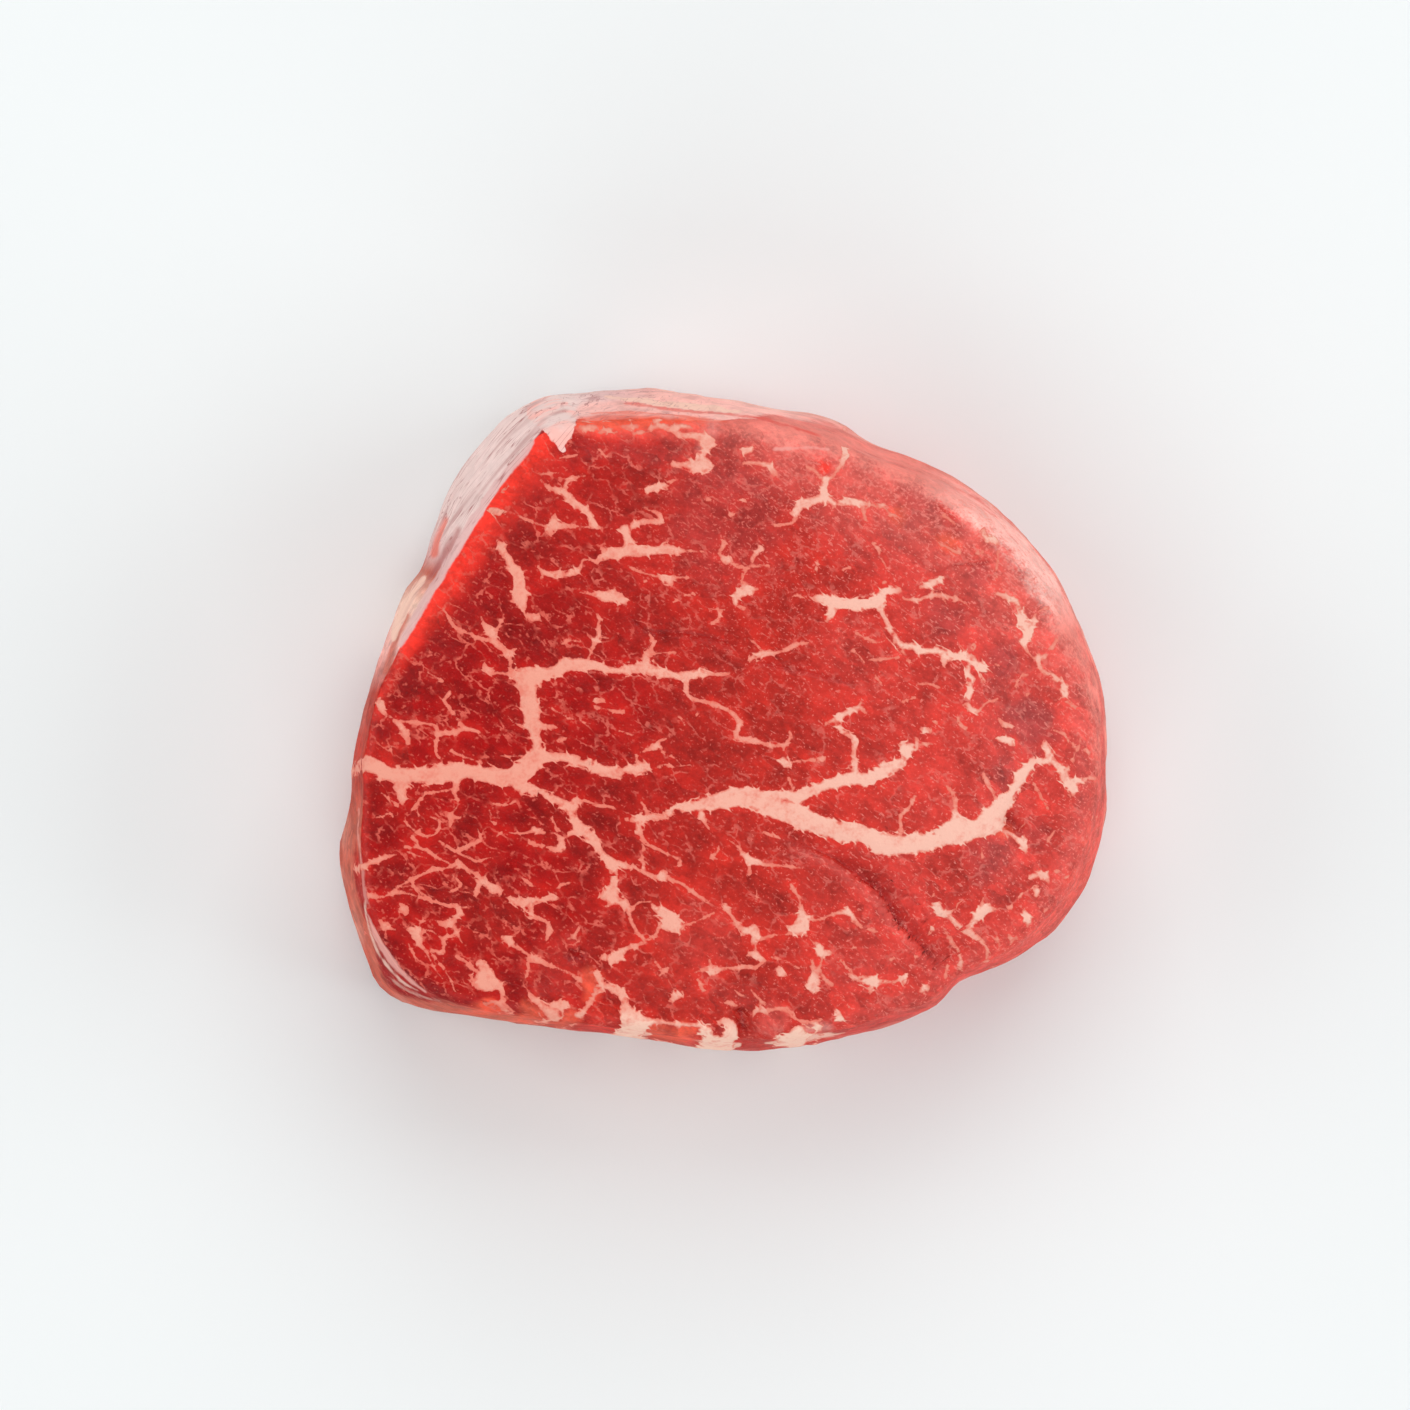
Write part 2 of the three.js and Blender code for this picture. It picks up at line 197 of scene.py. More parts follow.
EAST_ARM = [
    [(5.8, -9.1, 0.8), (7, -9.1, 1.2), (8, -9.3, 1.4), (9, -9, 1.3), (10, -8.5, 1.2), (12, -7.7, 1.4),
     (14, -7.2, 1.7), (15, -7.1, 1.8), (16, -7.1, 1.6), (17, -6.9, 1.3), (18, -6.4, 1.2),
     (19, -5.9, 1.4), (20, -5.5, 1.3), (20.7, -4.9, 1.0), (21.2, -3.5, 1.4), (22.1, -3.4, 0.8),
     (22.1, -2.6, 0.4)],
    [(20.6, -3.4, 0.8), (20.6, -3.0, 0.6)],
    [(15, -6.4, 0.9), (15, -5.6, 0.7), (14.8, -4.2, 0.5), (14.8, -3.4, 0.6), (14.9, -2.7, 0.9),
     (14.5, -2.2, 0.6), (13.3, -1.5, 0.7), (13, -0.3, 0.9), (13.3, 0.3, 0.9), (14, 0.6, 0.7),
     (15.3, 1.2, 0.7), (16.3, 0.6, 0.2)],
    [(12.4, -0.3, 0.6), (11.5, -0.7, 0.2)],
    [(15.6, 1.7, 0.4), (15.7, 2.3, 0.15)],
    [(6.5, -5, 0.9), (6.9, -5.4, 0.9)],
    [(7.5, -5.2, 0.2), (9.5, -5, 0.25), (11, -4.8, 0.5), (11.5, -4.6, 0.25)],
    [(18, -8, 0.3), (19, -8.6, 0.25)],
]

# %% Seams of the north-east, the east chain and its flecks
NORTH_EAST = [
    [(10.2, 14, 0.5), (11, 14, 0.8), (11.8, 13.6, 1.2), (12.5, 13.4, 1.4), (13.5, 13.4, 1.1),
     (16.5, 13.3, 1.1), (17.3, 13.4, 1.4), (18, 14, 1.3), (18.4, 14.7, 0.9), (19, 14.8, 0.8),
     (20.2, 15, 0.4)],
    [(12.2, 12.5, 1.1), (12.1, 12, 0.9), (11.7, 11.4, 0.3)],
    [(17.6, 12.8, 0.8), (18.2, 12.2, 0.6), (18.9, 10.6, 0.6), (19.5, 9.6, 0.9), (20.4, 8.5, 1.0),
     (21.8, 8.3, 1.0), (22.6, 7.8, 0.9), (24.5, 7.8, 1.0), (26, 7.3, 0.8), (28.4, 7.2, 0.9),
     (28.8, 6.5, 1.0), (29.4, 6.1, 1.0), (30, 5.5, 1.0), (30.3, 4.9, 0.9), (30.2, 4.3, 0.5)],
    [(20.5, 7.8, 0.5), (20.8, 7.4, 0.3)],
    [(28.8, 7.9, 0.5), (28.9, 8.5, 0.35)],
    [(27.8, 7.8, 0.2), (27.4, 8.4, 0.2)],
    [(25.4, 6.7, 0.6), (25.4, 6.1, 0.4)],
    [(28.3, 6, 0.7), (28.2, 5.2, 0.8), (28.7, 4.5, 0.8), (28.5, 3.8, 0.7), (28.3, 2.7, 0.8)],
    [(27.9, 1.6, 0.4), (28.9, 0.8, 0.7), (29.5, 0.8, 0.5), (30.3, 1.7, 0.3), (31.7, 2.2, 0.25)],
    [(20.7, 13.9, 0.3), (22.5, 13.8, 0.6), (24, 14.3, 0.5), (26, 14.1, 0.5), (27.7, 13.5, 0.3),
     (28.8, 12.5, 0.2)],
    [(25.3, 13.8, 0.3), (25.9, 13, 0.2)],
    [(22.7, 15.2, 0.4), (23.4, 15.5, 0.8), (24.2, 15.8, 1.0), (24.9, 16.1, 0.8), (25, 16.4, 0.3)],
    [(2.7, 6.8, 0.4), (3.1, 7.1, 0.7), (4.6, 7.5, 0.6), (6.5, 7.8, 0.4), (8.3, 8.6, 0.4), (9.7, 8.8, 0.2)],
    [(3.9, 8.1, 0.25), (2.5, 9.3, 0.2)],
    [(17.1, 20.6, 0.3), (17.6, 20.1, 0.4), (18, 18.8, 0.3), (18.7, 17.5, 0.2)],
    [(10.6, 18.5, 0.3), (10.4, 17.4, 0.5), (10.3, 16.8, 0.25)],
    [(13.6, 17.4, 0.3), (14.4, 17.6, 0.25)],
    [(27, 20, 0.3), (27.3, 19.3, 0.35)],
    [(25.5, 23.6, 0.3), (26.3, 23, 0.4), (26.8, 22.5, 0.2)],
    [(15.1, 9.9, 0.25), (16.3, 9.3, 0.3), (18, 8.8, 0.25), (18.6, 9.3, 0.25)],
    [(14.8, 7.8, 0.35), (15.4, 7.3, 0.25), (16, 6.5, 0.35)],
    [(16.5, 6.8, 0.25), (18.8, 6.9, 0.25), (20, 7.1, 0.2)],
    [(17.3, 5, 0.2), (18, 4, 0.2)],
    [(20.6, 1.9, 0.25), (22, 2.4, 0.2)],
    [(21, 6.7, 0.3), (22.2, 6.1, 0.15)],
]
EAST_CHAIN = [
    [(31, 14.8, 0.35), (33, 13.9, 0.6), (33.8, 13.6, 0.9), (34.3, 12.6, 0.9), (34.7, 10.8, 1.0),
     (35.4, 10.5, 1.3), (35.2, 9.7, 0.9), (34.9, 8.4, 0.8), (35.7, 7.1, 0.3), (36.3, 6.7, 0.6),
     (37, 5.4, 0.4), (38.6, 4.6, 0.6), (39.3, 4, 0.6), (39.7, 2.6, 0.8), (39.6, 2, 0.5),
     (41.3, 0.8, 0.15)],
    [(36, 11, 0.8), (36.2, 12, 0.4), (37.4, 12.6, 0.4), (37.9, 12.7, 0.2)],
    [(36.6, 6.9, 0.6), (37.3, 7.1, 0.5), (38, 7.8, 0.4), (38.7, 9, 0.3)],
    [(27, 0, 0.3), (27.4, -0.8, 0.4), (28, -1.2, 0.4)],
    [(32, -0.2, 0.3), (32.5, -0.8, 0.5), (33.3, -1.1, 0.5)],
    [(32, -2.6, 0.7), (32.8, -2.7, 0.9), (33.2, -3, 0.7)],
    [(33.8, 3.6, 0.3), (34.5, 4.8, 0.25), (35.3, 5, 0.2)],
    [(31.3, 6, 0.4), (31.7, 6.1, 0.3)],
    [(25.2, 1.4, 0.4), (26, 1.3, 0.3)],
    [(24.3, -0.5, 0.4), (24.5, -0.8, 0.3)],
    [(22.5, -1.3, 0.3), (23.1, -1.4, 0.8), (23.7, -1.5, 0.4)],
    [(22.6, -3.2, 0.3), (23.5, -3, 0.5), (24.2, -3.1, 0.2)],
    [(22, 3.9, 0.2), (23.8, 3.9, 0.2), (25, 3.5, 0.2)],
    [(38.3, -1.5, 0.2), (39.8, -2.2, 0.4), (40.8, -3.4, 0.5), (41.2, -3.9, 0.5), (41.5, -2.6, 0.3)],
    [(42, -3.9, 0.4), (42.6, -4.2, 0.4), (43.2, -4.8, 0.2)],
    [(40.8, -4.2, 0.4), (40.2, -5.8, 0.4), (40, -6.5, 0.8), (39.6, -7, 1.1)],
    [(38.3, -5.3, 0.8), (39.2, -6.1, 0.8), (39.5, -7, 1.1), (40.3, -7.6, 1.2), (41.2, -7.4, 0.8),
     (43.3, -7.2, 0.3)],
    [(40.8, -8.4, 0.9), (40.5, -9.2, 0.5), (40.3, -9.6, 0.3)],
]

# %% Seams of the north and north-west
NORTH_WEST = [
    [(-26.9, 20.7, 0.2), (-26.4, 20.1, 0.8), (-26.1, 19.3, 1.0), (-25.4, 18.3, 0.9), (-24.8, 17.4, 1.0),
     (-24.4, 16.4, 1.2), (-24.2, 14.5, 1.7), (-24.1, 13.6, 1.4), (-23.9, 12.9, 0.7)],
    [(-24.9, 14, 0.6), (-25.1, 13.6, 0.3)],
    [(-23.3, 12, 0.6), (-22.4, 11.8, 0.6), (-21.7, 11.3, 0.25)],
    [(-22.1, 17.7, 0.2), (-21.7, 17.1, 0.6), (-21, 16.9, 0.7), (-19, 16.8, 0.8), (-18, 17, 0.9),
     (-17.2, 17.5, 0.7), (-16.8, 18.5, 0.5), (-15.3, 18.3, 0.4), (-14.5, 18.7, 0.8), (-13, 19.2, 1.3),
     (-11.8, 19.4, 1.3), (-9, 19.4, 1.1), (-7, 19.7, 1.1), (-6, 19.5, 0.7), (-4, 19.5, 0.4),
     (-2.9, 19.4, 0.25)],
    [(-14.7, 19.8, 0.3), (-14.4, 19.4, 0.5)],
    [(-21.7, 16.4, 0.5), (-21.8, 15.8, 0.2)],
    [(-11.5, 19.8, 1.3), (-11.6, 20.8, 1.0), (-11.8, 21.7, 1.0), (-12, 22.1, 1.3)],
    [(-11, 22.5, 0.8), (-10, 22.9, 0.55), (-9, 22.9, 0.4), (-8, 22.9, 0.7), (-7.8, 23.5, 0.5),
     (-8.4, 24, 0.3), (-9.7, 24.5, 0.2)],
    [(-22.7, 28.8, 0.25), (-21.8, 28.5, 0.4), (-19.7, 28.7, 0.2)],
    [(-21.8, 27.8, 0.25), (-21, 27, 0.4), (-20, 26.6, 0.6), (-19.3, 26.5, 0.9), (-18.7, 26, 1.0),
     (-17.4, 24.8, 0.8), (-16.6, 24.4, 0.8), (-16, 23.7, 0.9), (-15.7, 22.5, 1.0), (-15.1, 22.3, 0.4)],
    [(-18.8, 27, 0.6), (-18.7, 27.6, 0.7), (-17.2, 28.3, 0.35), (-17, 28.8, 0.3)],
    [(-15.9, 22.3, 0.5), (-17.5, 22.4, 0.3), (-19.5, 22.5, 0.6), (-20.2, 22.7, 1.0), (-20.6, 22.2, 0.9),
     (-20.6, 21.3, 0.2)],
    [(-20.2, 23.3, 0.5), (-20.1, 24, 0.2)],
    [(-21.2, 22.4, 0.4), (-22.5, 22.8, 0.3), (-24.8, 23.7, 0.15)],
    [(-27.5, 24.2, 0.8), (-26.8, 24, 1.0), (-26, 23.9, 0.5)],
    [(-19.6, 30.4, 0.25), (-18.5, 30.6, 0.3), (-17.5, 30.8, 0.3)],
    [(-14.9, 31.4, 0.25), (-14.2, 30.6, 0.3)],
    [(-17.5, 14.7, 0.15), (-15.5, 14.4, 0.6), (-14.5, 14.2, 1.2), (-12.6, 14.1, 1.3), (-11.8, 13.3, 0.4)],
]
NORTH = [
    [(7.7, 23.9, 0.5), (8.2, 24.3, 1.1), (8.6, 24.9, 1.2), (9.5, 25.2, 1.1), (11.5, 25.5, 0.9),
     (12.5, 25.2, 0.7), (13.5, 25.1, 0.9), (15.5, 25.1, 0.9), (17, 24.8, 0.4), (18, 24.6, 0.2)],
    [(11.3, 25.7, 1.0), (11.4, 26.6, 0.9), (11.5, 27.5, 0.7), (11.6, 27.9, 0.9)],
    [(11, 28, 0.5), (10.2, 28.9, 0.4), (9.4, 29.3, 0.3)],
    [(12.2, 28.1, 0.4), (12.7, 28.6, 0.3), (13.6, 29.9, 0.6), (13.8, 30.6, 0.9), (13.9, 31.2, 0.9)],
    [(16, 24.6, 0.4), (16.1, 23.8, 0.3), (16.4, 22.6, 0.2)],
    [(12.5, 24.8, 0.35), (12.3, 24.2, 0.2)],
    [(18.3, 24.7, 0.35), (19.3, 23.7, 0.4), (19.9, 23.5, 0.2)],
    [(7.9, 23.3, 0.3), (7.6, 22.8, 0.4), (5.6, 22.5, 0.3)],
    [(-9.3, 26.8, 0.9), (-7.9, 27.1, 0.8), (-7, 27.4, 0.6), (-5.7, 28, 0.2)],
    [(-6.3, 29.7, 0.5), (-4.5, 29.6, 0.8), (-3.4, 29.5, 1.4), (-2.7, 29.6, 1.6), (-2.9, 30.5, 0.9),
     (-2.5, 31.3, 0.9), (-2.1, 32.2, 1.5), (-3, 32.8, 1.2), (-5.5, 33.1, 0.6), (-6.2, 33.4, 0.4)],
    [(2, 29.7, 0.2), (3, 29.8, 0.5), (4.8, 29.5, 0.8), (5.2, 29.2, 0.7), (5.8, 28.4, 0.3)],
    [(-2.4, 25.5, 0.3), (-2, 25.5, 0.3)],
    [(1.8, 25.5, 0.5), (2.1, 25.5, 0.4)],
    [(-0.6, 20.7, 0.35), (-0.4, 20.2, 0.6), (-0.9, 19.3, 0.5), (-0.3, 18.7, 0.6), (0.3, 18.3, 0.7),
     (1.4, 17.6, 0.3), (3.5, 17.8, 0.35), (4.8, 17.8, 0.3)],
    [(3.9, 19.8, 0.6), (3.1, 18.9, 0.6), (2.9, 18.2, 0.4)],
    [(2.3, 17.4, 0.3), (1.7, 16.1, 0.25)],
    [(2, 15.5, 0.4), (2.1, 15, 0.8), (2.7, 15, 0.8), (3.6, 15.1, 0.3)],
    [(1.8, 14.6, 1.0), (1.1, 14.2, 1.0), (1, 13.6, 0.9), (1.1, 13.2, 0.6), (2, 12.8, 0.25)],
    [(0, 12.9, 0.3), (-0.9, 12.2, 0.5), (-1, 11.6, 0.5), (-1.8, 11, 0.25)],
    [(-1, 12.7, 0.3), (-3.3, 12.8, 0.2)],
    [(-10, 17, 0.25), (-8.2, 16.5, 0.5), (-7.4, 16.3, 0.7), (-6.8, 16.1, 0.8), (-6.5, 15.7, 0.4)],
    [(-6.3, 16.3, 0.5), (-5.8, 16.4, 0.3), (-4.6, 16.4, 0.2)],
    [(-9.7, 16, 0.5), (-9.4, 16, 0.4)],
    [(-11.8, 17.9, 0.15), (-10.2, 17, 0.25)],
    [(-6.3, 13.5, 0.35), (-5.8, 13.8, 0.25)],
    [(-5, 14.3, 0.25), (-3.9, 14.5, 0.25)],
    [(7.5, 14.1, 0.2), (8.2, 14.3, 0.45), (9, 14, 0.3)],
    [(-17.2, 34.1, 0.4), (-16.3, 33.8, 0.8), (-15.4, 34, 0.4)],
    [(-14.8, 33.4, 0.3), (-13.8, 33.7, 0.7), (-12.8, 33.4, 0.3)],
    [(-12.2, 34.2, 0.3), (-11.2, 34, 0.6), (-10.2, 34.2, 0.3)],
    [(-10.9, 33.2, 0.3), (-10, 33.3, 0.5)],
    [(-9.2, 33.7, 0.4), (-8, 34, 0.8), (-6.6, 33.7, 0.6), (-5.2, 34.1, 0.8), (-4, 33.8, 0.4)],
]

# %% Seams of the south-west, where the muscle bundles are small
SOUTH_WEST = [
    [(-42.7, -17.6, 0.9), (-42, -17.1, 0.6), (-40.3, -16.5, 0.6), (-38.7, -16, 0.3)],
    [(-41.9, -20.8, 0.5), (-40.5, -21, 0.3), (-38.5, -20.4, 0.5), (-36.8, -20.7, 0.25)],
    [(-38.5, -19.8, 0.25), (-37.2, -19, 0.3)],
    [(-37.6, -19.3, 0.2), (-36, -18.5, 0.4), (-34.4, -17.8, 0.5), (-32.5, -17.5, 0.3),
     (-31.6, -17, 0.7), (-31, -17.3, 0.6), (-30, -17.9, 0.4), (-28.4, -18.9, 0.6), (-28.2, -19.4, 0.9),
     (-26.6, -20.3, 0.6), (-25.6, -20.8, 0.6), (-24.2, -21.6, 0.9), (-22.4, -21.5, 0.7),
     (-20.3, -20.9, 0.7)],
    [(-28.9, -19.2, 0.6), (-29.4, -20.7, 0.4)],
    [(-23, -22.2, 0.8), (-23, -22.9, 0.8)],
    [(-22.5, -23.2, 0.4), (-21, -23.9, 0.5), (-20.7, -24.6, 0.5), (-21.2, -26, 0.4)],
    [(-36.8, -14, 0.35), (-36.2, -14.6, 0.3), (-36.1, -15.1, 0.35), (-35.2, -15.5, 0.3), (-34.3, -16.1, 0.35),
     (-33.2, -16.7, 0.3), (-32.2, -17.2, 0.3)],
    [(-37.7, -15.1, 0.2), (-36.8, -15.2, 0.25), (-36.2, -15.1, 0.3)],
    [(-37.4, -15.7, 0.15), (-36.4, -16.1, 0.2), (-35.2, -16.4, 0.15)],
    [(-37.8, -12.1, 0.15), (-36.2, -13.5, 0.25), (-35.2, -13.8, 0.3), (-34.3, -13.7, 0.35),
     (-33.8, -13.2, 0.35), (-33.7, -12.1, 0.3), (-34.4, -11.7, 0.3), (-35.2, -11.4, 0.2)],
    [(-35.3, -8.9, 0.25), (-36.2, -10, 0.35), (-36.8, -10.7, 0.3)],
    [(-36.3, -10.5, 0.25), (-36.1, -11.4, 0.2), (-36.1, -12.1, 0.35)],
    [(-36.2, -13.1, 0.2), (-35.7, -12.9, 0.2)],
    [(-32.4, -11.4, 0.4), (-32.3, -12.2, 0.35), (-32.4, -12.8, 0.15)],
    [(-32, -11.6, 0.25), (-31.2, -11.7, 0.15)],
    [(-31.4, -15.8, 0.4), (-30.2, -16.4, 0.35), (-29.2, -16.8, 0.3), (-28, -16.4, 0.25),
     (-26.7, -16.2, 0.15)],
    [(-40.4, -8.8, 0.25), (-39.4, -9.6, 0.3), (-38.6, -10.2, 0.35)],
    [(-41.2, -11.7, 0.2), (-40.4, -11.6, 0.25), (-39.6, -11.2, 0.3), (-39.1, -11.6, 0.15)],
    [(-27.8, -10.8, 0.3), (-27.6, -11.4, 0.3)],
    [(-27.6, -12.1, 0.2), (-27.1, -12.4, 0.3)],
    [(-27.3, -10, 0.2), (-25.8, -10.2, 0.25), (-24.8, -9.8, 0.2)],
    [(-27, -13.9, 0.3), (-26.4, -13.4, 0.25)],
    [(-36.9, -19.1, 0.3), (-36.6, -19.9, 0.3), (-35.6, -20.6, 0.25), (-34.8, -21.1, 0.3)],
    [(-32, -18.5, 0.12), (-31.2, -19.3, 0.15), (-31.6, -20, 0.15), (-32.7, -20.4, 0.12)],
    [(-23.9, -18.8, 0.2), (-22.6, -19.7, 0.25), (-21.3, -20.3, 0.25)],
    [(-19.9, -19.9, 0.2), (-19.2, -19.5, 0.35), (-18, -19.2, 0.2)],
    [(-36.8, -20.7, 0.25), (-35.4, -21.2, 0.25), (-34.2, -21.5, 0.25)],
    [(-38.2, -21.9, 0.4), (-37.8, -22.4, 0.6), (-37.5, -22.9, 0.3)],
    [(-38.3, -22.7, 0.2), (-37.8, -22.9, 0.2)],
    [(-36.5, -23.5, 0.25), (-35.6, -23.8, 0.3), (-34.6, -23.6, 0.2), (-33.4, -24, 0.25)],
    [(-35.8, -25.4, 0.25), (-35.3, -24.9, 0.3), (-34.6, -24.9, 0.25), (-34, -25.4, 0.2),
     (-33.2, -25.8, 0.25)],
    [(-31.6, -27.9, 0.25), (-30.6, -28.5, 0.35), (-29.8, -29.3, 0.3), (-29.2, -29.6, 0.35)],
    [(-37.4, -26.3, 0.15), (-36.9, -27.2, 0.25), (-36.4, -28.4, 0.15)],
    [(-35.2, -27.4, 0.3), (-34.7, -28.4, 0.25), (-34, -29.6, 0.2), (-33.2, -30.6, 0.15)],
    [(-34.3, -27.8, 0.25), (-33.1, -29.5, 0.2), (-32.2, -30.9, 0.3), (-31.8, -32, 0.25), (-31.1, -32.3, 0.2)],
    [(-30.3, -30.6, 0.2), (-29.6, -31.2, 0.35)],
    [(-33.7, -14.4, 0.25), (-32, -15.4, 0.35), (-31.5, -15.4, 0.4), (-29, -14.4, 0.3), (-29.2, -13, 0.15)],
    [(-26.2, -13, 0.2), (-25, -13.5, 0.25), (-23.2, -13.4, 0.4), (-22.6, -13, 0.8), (-22, -13.3, 0.5),
     (-20.6, -13.7, 0.35), (-19.4, -14.3, 0.6), (-19.4, -15, 0.7), (-20, -15.4, 0.5), (-21.4, -15, 0.3),
     (-23.2, -14.7, 0.3)],
    [(-19.9, -13.2, 0.3), (-20.1, -12.5, 0.25), (-20.8, -11.4, 0.15)],
    [(-31.4, -22.2, 0.7), (-31.4, -23, 0.8), (-31.8, -23.5, 0.6), (-32.3, -24, 0.8), (-33.7, -24.2, 0.2)],
    [(-31.9, -24.5, 0.6), (-31.6, -25.2, 0.5), (-31, -26.4, 0.2)],
    [(-31.8, -22.1, 0.4), (-32.7, -21.9, 0.35), (-34.7, -21.4, 0.25)],
    [(-30.8, -22.2, 0.4), (-30, -22.1, 0.25)],
    [(-31.9, -25.6, 0.3), (-33, -25.7, 0.4), (-33.2, -27, 0.4), (-33.4, -27.5, 0.7), (-34.5, -27.2, 0.25)],
    [(-37, -24.9, 0.6), (-36.5, -25.1, 1.0), (-36.2, -25.9, 0.7), (-36, -26.5, 0.6), (-35, -27.5, 0.3)],
    [(-40.8, -23.6, 0.3), (-40, -24.4, 0.7), (-39.3, -24.7, 0.4), (-38.6, -24.9, 0.25)],
    [(-28.2, -28.6, 0.3), (-28.6, -29, 0.9), (-28.3, -29.6, 1.6), (-28.2, -30.4, 2.3), (-28, -31, 2.2),
     (-27, -31.2, 1.4), (-26.4, -31.9, 0.6), (-26.2, -33.2, 0.5), (-25, -34.3, 0.3)],
    [(-28.4, -31.3, 1.4), (-29, -31.4, 0.9)],
    [(-29.4, -31, 0.4), (-30.3, -30, 0.2)],
    [(-26.3, -25.7, 0.5), (-25.6, -26, 0.8), (-25, -26.5, 0.7), (-23.3, -27.7, 0.5), (-22.3, -28.2, 0.6),
     (-20.5, -29, 0.35), (-18.4, -29.9, 0.5), (-16.9, -30.9, 0.4)],
    [(-23.2, -28.3, 0.3), (-23.4, -30.2, 0.35)],
    [(-23, -32.4, 0.5), (-22.4, -33, 0.7), (-21.8, -33.6, 0.8), (-21, -34.2, 1.3), (-20.3, -34.8, 1.5),
     (-20.2, -35.6, 1.2), (-20.2, -37, 1.3)],
    [(-20, -33.6, 1.2), (-19, -33.6, 0.9)],
    [(-28.2, -33.4, 0.4), (-27, -33.2, 0.5), (-26.2, -34, 0.7), (-25.3, -34.8, 0.8), (-24.6, -35.4, 0.4)],
    [(-18.4, -25.2, 0.25), (-17.9, -25.5, 0.6), (-17.6, -25, 0.5), (-17.4, -24.6, 0.3)],
    [(-18.6, -25.9, 0.3), (-18, -25.7, 0.5), (-17.4, -26, 0.3)],
]

